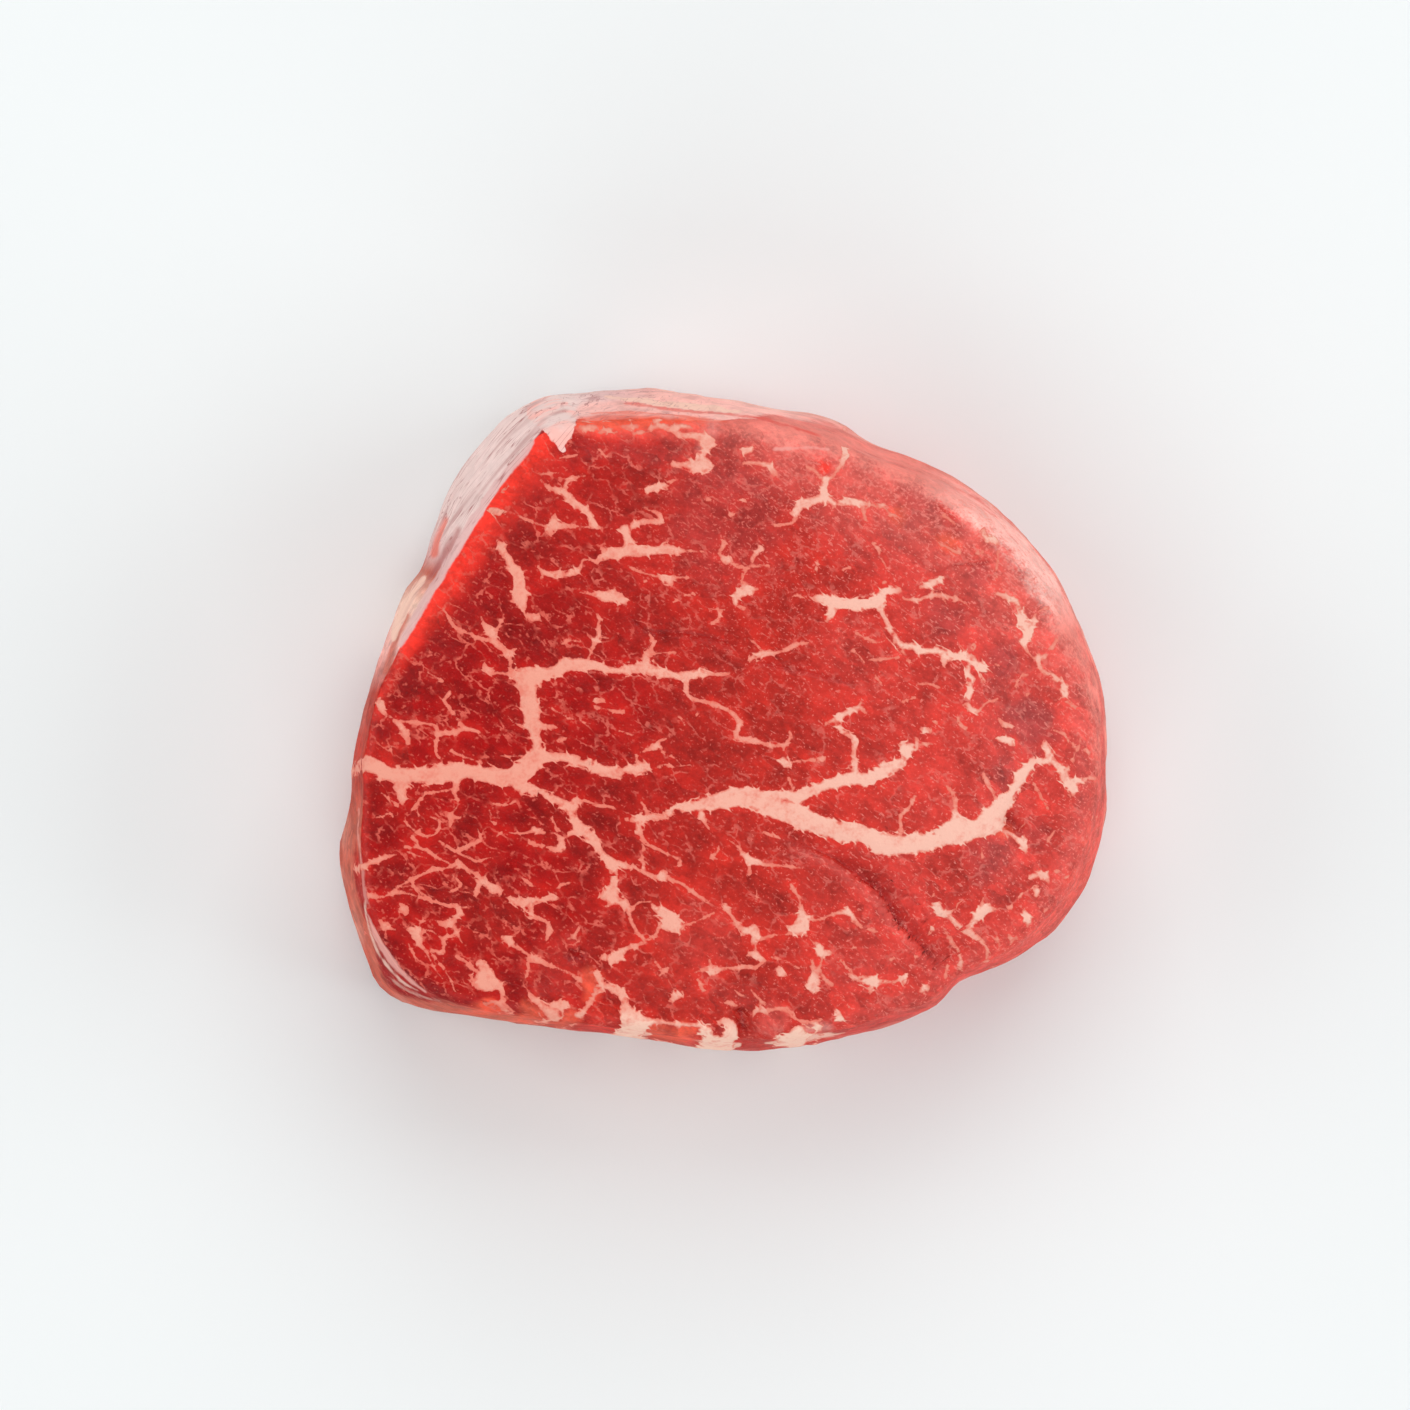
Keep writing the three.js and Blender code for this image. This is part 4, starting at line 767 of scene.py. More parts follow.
PATCHES = [  # place, radius in mm, colour, strength
    ((-15.9, -30.6), 1.4, AMBER, 0.8), ((-16, -32.4), 1.0, AMBER, 0.5), ((-27.6, -34.3), 1.7, AMBER, 0.8),
    ((-22.8, -34.8), 1.7, AMBER, 0.8), ((-18.3, -35.7), 1.4, AMBER, 0.8),
    ((-14.5, -35.4), 2.2, BRIGHT_RED, 0.6), ((-7.8, -36.9), 1.5, AMBER, 0.8),
    ((-5, -37.2), 1.6, AMBER, 0.8), ((-4, -38), 1.0, PINK_RED, 0.8),
    ((5.6, -35.4), 1.8, SHOULDER_PINK, 0.4),
    ((11.3, 29.4), 0.9, BRIGHT_RED, 0.9), ((-14, 1), 6.0, DEEP_RED, 0.5), ((-34, -19), 5.0, DARK_TONE_AND_SHADE_RED, 0.7),
    ((-3, -26), 5.0, PINK_RED, 0.5), ((-27, -24), 4.0, LEAN_RED, 0.4), ((0, 22), 7.0, PURPLE_TONE_AND_SHEEN, 0.4),
    ((28, -19), 4.0, LEAN_RED, 0.4), ((21, -28), 3.0, LEAN_RED, 0.3), ((15, 8), 5.0, PINK_RED, 0.5),
    ((25, -33.6), 1.4, LOW_PINK, 0.7), ((26.1, 20.4), 1.3, AMBER, 0.8), ((20.3, 23.9), 1.2, AMBER, 0.7),
    ((32.5, -12.8), 1.2, AMBER, 0.7), ((25.6, 25), 1.0, BRIGHT_RED, 0.7), ((27, 24), 1.0, BRIGHT_RED, 0.6),
    # the dull purple patches of the east face are partly painted sheen of the wet lean
    ((29.7, 16.7), 1.6, PURPLE_TONE_AND_SHEEN, 0.7), ((35.6, -0.6), 3.2, PURPLE_TONE_AND_SHEEN, 0.9),
    ((33, 6.5), 2.2, PURPLE_TONE_AND_SHEEN, 0.7), ((25.5, 12), 2.4, PURPLE_TONE_AND_SHEEN, 0.5),
    ((30.5, -16.5), 2.6, PURPLE_TONE_AND_SHEEN, 0.6), ((22.3, 25), 2.6, PURPLE_TONE_AND_SHEEN, 0.55),
    ((26.8, 22.2), 1.8, PURPLE_TONE_AND_SHEEN, 0.5), ((36.5, -14), 2.2, PURPLE_TONE_AND_SHEEN, 0.5),
    ((32.5, -6.5), 2, PURPLE_TONE_AND_SHEEN, 0.4), ((21, -27.5), 3.0, PINK_RED, 0.6),
    ((-37.5, -12.5), 3.0, DEEP_RED, 0.9), ((-39, -4), 2.0, BRIGHT_RED, 0.3), ((-20, -29), 4.0, PINK_RED, 0.3),
]
TONGUE = [  # the flap of silverskin that lies over the rim: x, y, width
    (-22, 36.8, 4), (-20.4, 35.7, 4.7), (-19.6, 34.5, 3.6), (-19.5, 33.4, 2.6), (-19.5, 32.4, 1.5),
    (-19.3, 31.7, 0.7),
]
STROKES = [  # colour, strength, softness in mm, route of (x, y, width)
    (LILAC, 0.9, 0.25, [(-22.9, 32.3, 0.7), (-24, 30.7, 0.8), (-27, 27.4, 1.0), (-31, 21, 1.1),
                        (-35, 14.6, 1.2), (-38.3, 8.6, 0.7)]),
    (FLANK_RED, 0.6, 0.5, [(-22, 38.3, 0.5), (-26.8, 35.8, 0.6), (-30.8, 31.4, 0.6), (-33.2, 26.5, 0.6)]),
    (AMBER, 0.75, 0.4, [(-33.8, 23.6, 0.8), (-34.6, 21.5, 1.3), (-34.8, 19.6, 1.0)]),
    (PURPLE_TONE_AND_SHEEN, 0.6, 0.6, [(-31.6, 22, 0.4), (-32.6, 20.2, 0.8), (-34, 18.2, 0.8), (-35, 16.8, 0.4)]),
    (LOW_PINK, 0.6, 0.8, [(-17.5, 33.9, 0.8), (-13, 33.8, 1.4), (-8, 33.7, 1.4), (-4, 33.4, 1.2)]),
    (AMBER, 0.8, 0.6, [(-17, 34.6, 1.4), (-13, 34.9, 2.0), (-8, 35, 2.0), (-3, 35, 1.4)]),
    (TISSUE_PINK, 0.8, 0.5, [(-17, 36.4, 1.6), (-12, 36.7, 1.8), (-6, 36.2, 1.6), (0, 36, 1.0)]),
    (AMBER, 0.6, 0.3, [(-16, 35.9, 0.3), (-12, 36, 0.4), (-8, 35.8, 0.3), (-4, 35.2, 0.4), (0, 34.8, 0.2)]),
    (CREAM, 0.85, 0.3, [(-14.5, 38.2, 0.3), (-11.5, 37.9, 0.6), (-8, 37.3, 0.9), (-3, 36.8, 0.8),
                        (1.5, 36.2, 0.3)]),
    (LOW_PINK, 0.7, 0.3, [(-12, 37.3, 0.3), (-7, 36.6, 0.4), (-1, 36, 0.4), (5, 35, 0.3), (11, 33.2, 0.3)]),
    (TISSUE_PINK, 0.5, 0.3, [(5.5, 31.5, 0.3), (7.5, 31.6, 0.3), (9.5, 31.7, 0.3), (12, 31.5, 0.2)]),
    # painted highlight: the pale strip along the lip of the big south-east fold
    (SHOULDER_PINK, 0.25, 0.4, [
        (8, -15.4, 0.3), (12.3, -17.5, 0.5), (15.1, -19.7, 0.7), (17.4, -21.6, 0.8), (18.8, -23.7, 0.8),
        (20, -25.4, 0.7), (21.8, -27.2, 0.6), (23.4, -29.6, 0.4)]),
    (CREAM, 0.9, 0.3, [(-36, 16.4, 0.8), (-37.9, 13.6, 1.6), (-39, 11, 1.4), (-39.4, 9.4, 0.8)]),
    (FLANK_BROWN, 0.8, 0.4, [(-37.6, 12, 0.4), (-39.2, 8.6, 0.8), (-40.2, 5.5, 0.8)]),
    (TISSUE_PINK, 0.6, 0.3, [(-42, -23.4, 0.3), (-41.4, -25.4, 0.7), (-40.3, -27.4, 1.0), (-38.8, -29.3, 0.9),
                             (-37.2, -30.9, 0.5), (-35.4, -32.2, 0.3)]),
    (FLANK_CREAM, 0.8, 0.2, [(-42.4, -21, 0.15), (-42.4, -23.5, 0.2), (-41.9, -26.2, 0.25),
                             (-40.5, -28.8, 0.25), (-38.2, -31.2, 0.25), (-36.4, -32.2, 0.15)]),
    (FLANK_CREAM, 0.45, 0.2, [(-40.2, -30.6, 0.15), (-38, -32.2, 0.3), (-36, -33, 0.3), (-33.6, -33.4, 0.2)]),
    (TISSUE_PINK, 0.4, 0.3, [(-43.5, -10.8, 0.25), (-43.4, -13.1, 0.3), (-43.1, -15.7, 0.35),
                             (-42.7, -17.8, 0.4), (-42.6, -20, 0.35), (-42.2, -21.8, 0.35)]),
    (CREAM, 0.8, 0.3, [(-12.4, -36.8, 0.4), (-11, -37.4, 0.8), (-9.2, -37.5, 0.5)]),
    (CREAM, 0.8, 0.3, [(-3, -38.2, 0.5), (-0.6, -38.7, 0.8), (1.4, -38.7, 0.5)]),
    (CREAM, 0.75, 0.3, [(4.6, -38.4, 0.3), (6.6, -38.1, 0.9), (9, -37.9, 1.2), (11.6, -37.6, 1.0),
                        (13.8, -37.3, 0.4)]),
    (TISSUE_PINK, 0.5, 0.7, [(9.2, -36.6, 0.4), (10.6, -36.3, 0.8), (11.8, -36.4, 0.4)]),
    (TISSUE_PINK, 0.4, 0.8, [(-3.1, 31.6, 0.4), (-2.1, 33.1, 1.0), (-1.6, 34.3, 1.2), (-1.4, 35.4, 1.6)]),
]
CRISP = 0.35  # mm: a stroke no softer than this gets its border in the material, not on the vertices
STROKE_FLOOR = (16, 22)  # mm above the table between which a stroke on the wall comes in
TONGUE_CURVE = smooth_route(TONGUE)
STROKE_CURVES = [TONGUE_CURVE, *(smooth_route(route) for *_, route in STROKES)]


def tones_around(pairs, at):
    """A list of (compass angle in degrees, colour) read at any angle."""
    angles, colours = zip(*pairs)
    return np.stack([np.interp(at, angles, channel, period=360) for channel in zip(*colours)], 1)


print(len(PATCHES), "patches and", len(STROKES), "strokes")

# %% [markdown]
# ## Fine mesh where it is needed
# A border of fat is only as crisp as the faces it crosses. The long edges of the faces near a
# border or a crease are halved, again and again, until the faces are 0.3 mm across there, and
# half that at the thinnest seams. The cut rounds the new vertices, so the surface stays smooth.

# %% Refine the mesh along the borders
UPPER_FACE = 0.45  # least upward tilt of a normal on the upper face
IN_VIEW = 0.1  # least upward tilt of what is seen from above, rim and leaning wall too
UPPER_SIZES = [(1.6, True), (1.05, True), (0.55, False), (0.29, False)]  # mm, and whether everywhere
STROKE_SIZES = (0.7, 0.45)  # mm
BASE_SIZE = 1.0  # mm
THIN_SEAM = 0.5  # mm: a seam nowhere wider than this is thin, and cut finer
THIN_SIZE = 0.17  # mm
NEAR_BORDER = 0.5  # share of a face's longest edge within which a border counts as near
EVEN_SHARE = 0.75  # edges shorter than this share of the size stay whole, which keeps the faces even


def longest_edge(face):
    return max(edge.calc_length() for edge in face.edges)


def cut(mesh, size, part, curves, roundness, everywhere=False, traced=True):
    """Halves the edges longer than size of a part's faces, where the border of a curve is near."""
    long_edge = EVEN_SHARE * size * MM
    chosen = [f for f in mesh.faces if part(f) and longest_edge(f) > size * MM]
    points = np.array([f.calc_center_median() for f in chosen]).reshape(-1, 3)
    normals = np.array([f.normal for f in chosen]).reshape(-1, 3)
    x, y = drawing_places(points, normals)[:2] if traced else (points[:, :2] / MM + DRAWING_MIDDLE).T
    gap = np.abs(fat_distance(x, y, curves)[0])
    near = [f for f, g in zip(chosen, gap) if everywhere or g < NEAR_BORDER * longest_edge(f) / MM]
    edges = [edge for face in near for edge in face.edges if edge.calc_length() > long_edge]
    bmesh.ops.subdivide_edges(  # each edge once, and always in the same order
        mesh, edges=list(dict.fromkeys(edges)), cuts=1, use_grid_fill=True, smooth=roundness,
        use_smooth_even=True,
    )
    mesh.normal_update()


def on_upper(face):
    return face.normal.z > UPPER_FACE


def on_base(face):
    return face.normal.z < -UPPER_FACE


def on_wall(face):
    return not on_upper(face) and not on_base(face)


def in_view(face):
    return face.normal.z > IN_VIEW and face.calc_center_median().z > STROKE_FLOOR[0] * MM


def count_triangles(part):
    return sum(len(f.verts) - 2 for f in steak.faces if part(f))


steak = bmesh.new()
steak.from_mesh(rounded)
steak.normal_update()
for size, everywhere in UPPER_SIZES:
    cut(steak, size, on_upper, SEAM_CURVES + CREASE_CURVES, 1.0, everywhere)
    print("upper face cut to", size, "mm:", len(steak.faces), "faces")
thin_curves = [curve for curve in SEAM_CURVES if curve[:, 2].max() < THIN_SEAM]
cut(steak, THIN_SIZE, on_upper, thin_curves, 1.0)
print("thin seams cut:", len(steak.faces), "faces")
for size in STROKE_SIZES:
    cut(steak, size, in_view, STROKE_CURVES, 1.0, traced=False)
cut(steak, BASE_SIZE, on_base, BASE_CURVES, 0.0)
triangles = [count_triangles(part) for part in (on_upper, on_wall, on_base)]
print("triangles of upper face, wall and base:", triangles)

# %% [markdown]
# ## Relief
# The solid carries the broad folds. The crisp things are cut here by moving vertices along
# their normals: the creases, whose wet floors are also marked for painted shade, the slight rise
# of the firm fat over the softer lean, and the coarse grain of the meat.

# %% Relief
FAT_RISE = 0.13  # mm
FAT_SLOPE = 0.5  # mm inside the border at which the fat reaches its full rise
LIP_EDGE = 0.45  # mm over which a lip falls to its valley
LAST_REACH = 3  # reaches of a lip or valley past which it moves nothing
USUAL_FADE = (0.15, 0.2)
# A valley's wet floor beside the groove is also darkened with painted shade, to the same share.
VALLEY_WET_AND_SHADE = (0.9, 0.7)  # how wet a valley's floor is beside its groove, and to what share of its reach
GRAIN = [(0.05, 1.1, 0.0), (0.035, 0.55, 7.0), (0.12, 3.4, 3.0)]  # height, wave in mm, layer of noise
WALL_GRAIN = [(0.22, 4.2, 11.0), (0.08, 1.5, 5.0)]


def bell(distance, width):
    return np.exp(-((distance / width) ** 2))


def side_of(x, y, curve):
    """1 on the left of a route, -1 on its right."""
    start, run = curve[:-1, :2], np.diff(curve[:, :2], axis=0)
    middle = start + run / 2
    leg = np.hypot(x[:, None] - middle[:, 0], y[:, None] - middle[:, 1]).argmin(1)
    to = np.stack([x, y], 1) - start[leg]
    return np.sign(run[leg, 0] * to[:, 1] - run[leg, 1] * to[:, 0])


def crease_relief(x, y, crease):
    """How far a crease moves points, how wet it leaves them, and how much shade is painted there."""
    depth, half = crease["groove"]
    lip, lip_reach = crease["lip"]
    valley, valley_reach = crease["valley"]
    border, along, _ = route_distance(x, y, crease["curve"], LAST_REACH * max(lip_reach, valley_reach))
    off = (border + half).clip(0)
    side = off * side_of(x, y, crease["curve"])
    on_lip = smooth(-LIP_EDGE, 0, side)
    start, end = crease.get("fade", USUAL_FADE)
    ends = smooth(0, start, along) * smooth(1, 1 - end, along)
    rise = lip * on_lip * bell(off, lip_reach) - valley * (1 - on_lip) * bell(off, valley_reach)
    groove = bell(side + LIP_EDGE, half)
    floor = VALLEY_WET_AND_SHADE[0] * (1 - on_lip) * bell(off, VALLEY_WET_AND_SHADE[1] * valley_reach)
    return ends * (rise - depth * groove), ends * crease["wet_and_shade"] * np.maximum(groove, floor)


def grain(points, layers):
    """Uneven height in mm at points in mm."""
    height = np.zeros(len(points))
    for rise, wave, layer in layers:
        shift = Vector((0, 0, layer))
        height += rise * np.array([noise.noise(Vector(p) / wave + shift) for p in points])
    return height


steak.verts.ensure_lookup_table()
points = np.array([v.co for v in steak.verts])
normals = np.array([v.normal for v in steak.verts])
x, y, z, angle, wall, base = drawing_places(points, normals)
upper = (1 - wall) * (1 - base)
fat, girth = fat_distance(x, y, SEAM_CURVES)
wet_and_shade = np.zeros(len(x))
lift = FAT_RISE * smooth(0, -FAT_SLOPE, fat)
lift += (1 - wall) * grain(points / MM, GRAIN) + wall * grain(points / MM, WALL_GRAIN)
for crease in CREASES:
    rise, dark = crease_relief(x, y, crease)
    lift += upper * rise
    wet_and_shade = np.maximum(wet_and_shade, upper * dark)
for spot in SPOTS:
    here = bell(np.hypot(x - spot["at"][0], y - spot["at"][1]), spot["radius"])
    lift += upper * spot["rise"] * here
    wet_and_shade = np.maximum(wet_and_shade, upper * spot["wet_and_shade"] * here)
lift *= 1 - base  # the lower face lies flat on the table
for vert, move in zip(steak.verts, lift):
    vert.co += vert.normal * (move * MM)
print("relief from", round(lift.min(), 2), "to", round(lift.max(), 2), "mm")

# %% [markdown]
# ## Painting
# The washes are laid one over the other on the vertices. There are two layers of tones, one for
# the cut face and one for the flank below it, and the line between them is kept as a distance:
# on the north-west it is crisper than any colour that blends from vertex to vertex.

# %% Wash the cut face
FACE, FLANK = 0, 1  # layers of the tones
WOBBLE = [(0.5, 2.4, 21.0), (0.35, 1.0, 17.0)]  # noise on the outline of a wash, as in GRAIN
LIGHTER = (-28, 10)  # mm along X over which the deep red of the west turns lighter
PINKER = (2, 34)  # and over which the lean turns pink
MOST_PINK = 0.95
LIGHTER_SPOTS = [((-6, -28), 9, 0.5), ((-22, 24), 8, 0.3)]  # place, radius in mm, share
PINKER_SPOTS = [((16, -26), 9, 0.5), ((-4, 26), 8, 0.25)]
SHOULDER_EDGE = 1.0  # mm in from the rim at which the shoulder's wash is full
BAND_EDGE = 0.5  # and the red band's
plan_x, plan_y = (points[:, :2] / MM + DRAWING_MIDDLE).T
inward = rim_radius(angle) - np.hypot(plan_x, plan_y)
wobble = grain(points / MM, WOBBLE)
tone = np.tile(DEEP_RED, (2, len(x), 1))


def wash(colour, mask, layer=slice(None)):
    """Lays a colour over what is there, in the face's tones, the flank's, or both."""
    mask = np.clip(mask, 0, 1)[:, None]
    tone[layer] = tone[layer] * (1 - mask) + colour * mask


def soft_spots(spots):
    """The field of some soft round spots, each a place, a radius in mm and a share."""
    return sum(share * bell(np.hypot(x - at[0], y - at[1]), radius) for at, radius, share in spots)


wash(LEAN_RED, smooth(*LIGHTER, x) + soft_spots(LIGHTER_SPOTS))
wash(PINK_RED, MOST_PINK * (smooth(*PINKER, x) + soft_spots(PINKER_SPOTS)))
# partly painted sheen and glow: the east shoulder is paler pink where it curves down, over its own pinker
# tone
shoulder = smooth(around(SHOULDER_REACH, angle), SHOULDER_EDGE, inward + 2 * wobble)
shoulder = shoulder * around(SHOULDER, angle)
wash(SHOULDER_PINK, shoulder)
# painted glow: the bright red band where light goes through the thin north-west edge
band = around(RED_BAND, angle) * smooth(around(RED_BAND_WIDTH, angle), BAND_EDGE, inward + wobble)
wash(BRIGHT_RED, upper * band)
# painted glow and sheen of the thin rim over its own pinker tone, drawn in by the material
glow = around(PINK_RIM, angle) * smooth(around(PINK_RIM_WIDTH, angle), 0, inward) * (1 - wall)
print("mean lean colour:", tone[FACE][upper > 0.9].mean(0).round(3))

# %% [markdown]
# The flank's tones go by compass angle, and low on it streaks of pale tissue hang down over red
# flesh. Where the rim is crisp the flank starts at a distance from the rim, and elsewhere where
# the wall turns down.

# %% Wash the flank
HANG = [(1.0, 1.0, 9.0)]  # noise of the hanging streaks, as in GRAIN
HANG_STRETCH = np.array([0.28, 0.28, 0.06])  # 1/mm: close side by side, long from top to bottom
HANG_EDGE = (-0.15, 0.35)  # the noise's values between which a streak turns pale
LOW = (36, 8)  # mm above the table between which the streaks come in
WALL_TOP = (36, 34)  # mm above the table between which all of the wall comes to be flank
CRISP_RIM = [(94, 0), (106, 1), (165, 1), (185, 0)]  # angle, and how crisp the face's edge is there
RIM_LINE = 0.25  # mm over which the colour changes at a crisp edge
hanging = smooth(*HANG_EDGE, grain(points / MM * HANG_STRETCH, HANG))[:, None]
tone[FLANK] = tones_around(FLANK_TONES, angle)
lower_tone = hanging * FLANK_CREAM + (1 - hanging) * FLANK_RED
wash(lower_tone, wall * around(LOWER_FLANK, angle) * smooth(*LOW, z), FLANK)
crisp_rim = around(CRISP_RIM, angle)
by_place = np.maximum(0.5 - inward / RIM_LINE, 2 * wall * smooth(*WALL_TOP, z) - 0.5)
flank = crisp_rim * by_place + (1 - crisp_rim) * (2 * wall - 0.5)
print("vertices on the flank:", int((flank > 0.5).sum()))

# %% [markdown]
# Patches and soft strokes are painted over both layers, with a wobbly outline, so that none is a
# round spot. A crisp stroke isn't painted: the distance to its border and the colour it leaves
# are kept, and the material draws it.

# %% Lay the patches and the strokes
PATCH_EDGE = (1.3, 0.6)  # shares of its radius between which a patch comes in
PATCH_FLOOR = (22, 30)  # mm above the table between which a patch on the wall comes in
STROKE_WOBBLE = 0.15  # mm
# how dark the painted shade in the wet valleys, grooves and pits is
SHADE_AND_WET_DARKNESS = 0.85
for at, radius, colour, strength in PATCHES:
    off = np.hypot(x - at[0], y - at[1]) / radius + wobble
    wash(colour, strength * smooth(*PATCH_EDGE, off) * smooth(*PATCH_FLOOR, z))
crisp = []
high_enough = smooth(*STROKE_FLOOR, z)
for colour, strength, soft, route in STROKES:
    gap, *_ = route_distance(plan_x, plan_y, smooth_route(route))
    if soft <= CRISP:
        crisp.append((colour, strength, gap + SEAM_REACH * (1 - high_enough)))
    else:
        wash(colour, strength * smooth(soft, -soft / 2, gap + STROKE_WOBBLE * wobble) * high_enough)
# painted shade: the valleys behind the lips, the grooves and the pits are darkened where wet
wash(DARK_TONE_AND_SHADE_RED, SHADE_AND_WET_DARKNESS * wet_and_shade)
seen_tone = np.where(flank[:, None] > 0.5, tone[FLANK], tone[FACE])
stroke = np.full(len(x), SEAM_REACH)
stroke_tone = seen_tone.copy()
for colour, strength, gap in crisp:
    nearer = gap < stroke
    stroke[nearer] = gap[nearer]
    stroke_tone[nearer] = (1 - strength) * seen_tone[nearer] + strength * colour
print(len(PATCHES), "patches,", len(crisp), "crisp strokes and", len(STROKES) - len(crisp), "soft ones")

# %% [markdown]
# The material needs more than colours: how many flecks and films there are, where the skin and
# its tongue lie, how dry the surface is and how even. Each is a field, one number per vertex.

# %% Fields for the material
FLECK_SHARE = {"face": 0.6, "east": 0.3, "shoulder": 0.6, "base": 0.5, "wall": 0.3}
FLECKS_EAST = (-14, 10)  # mm along X over which they grow more
FLECK_SPOTS = [((0, 22), 12, 0.3)]
FILM_SHARE = {"face": 0.45, "west": 0.55, "base": 0.5}
FILMS_WEST = (6, -24)
FLECKS_LOST, FILMS_LOST = 0.3, 0.4  # shares that the red band lacks
COVER = {"tongue": 1.5, "skin": 2.0, "wall": 0.15}  # mm by which these push back the borders of fat
TONGUE_EDGE = (0.4, -0.2)  # mm from the tongue's border
DRY_TILT = (0.85, 0.35)  # upward tilt of the normal between which the surface grows dry
CALM = 0.8  # how even the skin and the dry rim are at most
CALM_RIM = [(0, 0.2), (25, 0.6), (100, 0.7), (110, 0.2), (270, 0.2)]  # angle, and share of that
PALE_RIM = [(240, 0), (252, 1), (295, 1), (305, 0)]  # angle, and how pale the fat is at the rim there
PALE_REACH = (2.6, 1.2)  # mm in from the rim
skin = np.clip(flank, 0, 1) * around(SKIN, angle)
flecks = FLECK_SHARE["face"] + FLECK_SHARE["east"] * smooth(*FLECKS_EAST, x) + soft_spots(FLECK_SPOTS)
flecks = upper * (flecks + FLECK_SHARE["shoulder"] * shoulder) * (1 - FLECKS_LOST * band)
flecks += FLECK_SHARE["base"] * base + FLECK_SHARE["wall"] * wall * (1 - skin)
films = FILM_SHARE["face"] + FILM_SHARE["west"] * smooth(*FILMS_WEST, x)
films = upper * films * (1 - FILMS_LOST * band) + FILM_SHARE["base"] * base
tongue, *_ = route_distance(plan_x, plan_y, TONGUE_CURVE)
fat = fat + COVER["tongue"] * smooth(*TONGUE_EDGE, tongue) + COVER["skin"] * skin + COVER["wall"] * wall
dry = smooth(*DRY_TILT, np.abs(normals[:, 2]))
calm = CALM * np.maximum(skin, dry * around(CALM_RIM, angle))
pale = around(PALE_RIM, angle) * smooth(*PALE_REACH, inward)
print("share of the vertices in fat:", round(float((fat < 0).mean()), 3))

# %% Keep the fields on the mesh
steak.to_mesh(beef.data)
steak.free()
beef.data.update()
fields = {
    "fat": fat, "girth": girth, "skin": skin, "tongue": tongue, "stroke": stroke, "flecks": flecks,
    "films": films, "glow": glow, "wet_and_shade": wet_and_shade, "dry": dry, "calm": calm, "flank": flank, "pale": pale,
}
tones = {
    "tone": tone[FACE], "flank_tone": tone[FLANK], "stroke_tone": stroke_tone,
    "rim_tone": tones_around(RIM_TONES, angle),
}
for name, values in fields.items():
    kept = beef.data.attributes.new(name, "FLOAT", "POINT")
    kept.data.foreach_set("value", values.astype(np.float32))
for name, values in tones.items():
    colours = np.column_stack([values, np.ones(len(values))]).astype(np.float32)
    kept = beef.data.attributes.new(name, "FLOAT_COLOR", "POINT")
    kept.data.foreach_set("color", colours.ravel())
for polygon in beef.data.polygons:
    polygon.use_smooth = True
print("steak mesh:", len(beef.data.vertices), "vertices")

# %% [markdown]
# ## Meat finish
# What is finer than the mesh is made in the material: the ragged border of each seam, the thin
# pale films between the muscle bundles, flecks of fat, and the wet grain of cut fibres that
# catches the light. Three small node groups are used over and over with other values. They work
# in millimetres, so that each wave is a size that can be measured.

# %% Node helpers
def add(tree, kind, inputs=None, **settings):
    """A node of a kind, with its settings, its sockets filled with values or joined to others."""
    node = tree.nodes.new(kind)
    for name, value in settings.items():
        setattr(node, name, value)
    for name, value in (inputs or {}).items():
        if isinstance(value, bpy.types.NodeSocket):
            tree.links.new(value, node.inputs[name])
        else:
            node.inputs[name].default_value = value
    return node


def math_node(tree, operation, *values, clamp=False):
    node = add(tree, "ShaderNodeMath", dict(enumerate(values)), operation=operation, use_clamp=clamp)
    return node.outputs[0]


def ease(tree, value, low, high, to_low=0.0, to_high=1.0):
    """value from low to high becomes to_low to to_high, eased."""
    inputs = {"Value": value, "From Min": low, "From Max": high, "To Min": to_low, "To Max": to_high}
    return add(tree, "ShaderNodeMapRange", inputs, interpolation_type="SMOOTHSTEP").outputs[0]


def scaled(tree, vector, factor):
    return add(tree, "ShaderNodeVectorMath", {0: vector, "Scale": factor}, operation="SCALE").outputs[0]


def noise_from(tree, where, wave, detail):
    """Noise from 0 to 1 whose waves are as long as wave."""
    inputs = {"Vector": where, "Scale": math_node(tree, "DIVIDE", 1.0, wave), "Detail": detail}
    return add(tree, "ShaderNodeTexNoise", inputs).outputs["Fac"]


def new_group(name, inputs, outputs):
    """An empty node group. Its sockets are numbers, apart from Place, which is a vector."""
    group = bpy.data.node_groups.new(name, "ShaderNodeTree")
    for labels, direction in ((inputs, "INPUT"), (outputs, "OUTPUT")):
        for label in labels:
            kind = "NodeSocketVector" if label == "Place" else "NodeSocketFloat"
            group.interface.new_socket(label, in_out=direction, socket_type=kind)
    return group, group.nodes.new("NodeGroupInput").outputs, group.nodes.new("NodeGroupOutput").inputs


def place_group(tree, group, **inputs):
    """A node group in a tree, with its inputs filled or joined; gives all its outputs."""
    return add(tree, "ShaderNodeGroup", inputs, node_tree=group).outputs


# %% Node group: unevenness
UNEVEN, ins, outs = new_group("Unevenness", ["Place", "Wave", "Height"], ["Value"])
centred = math_node(UNEVEN, "MULTIPLY_ADD", noise_from(UNEVEN, ins["Place"], ins["Wave"], 1.0), 2.0, -1.0)
UNEVEN.links.new(math_node(UNEVEN, "MULTIPLY", centred, ins["Height"]), outs["Value"])

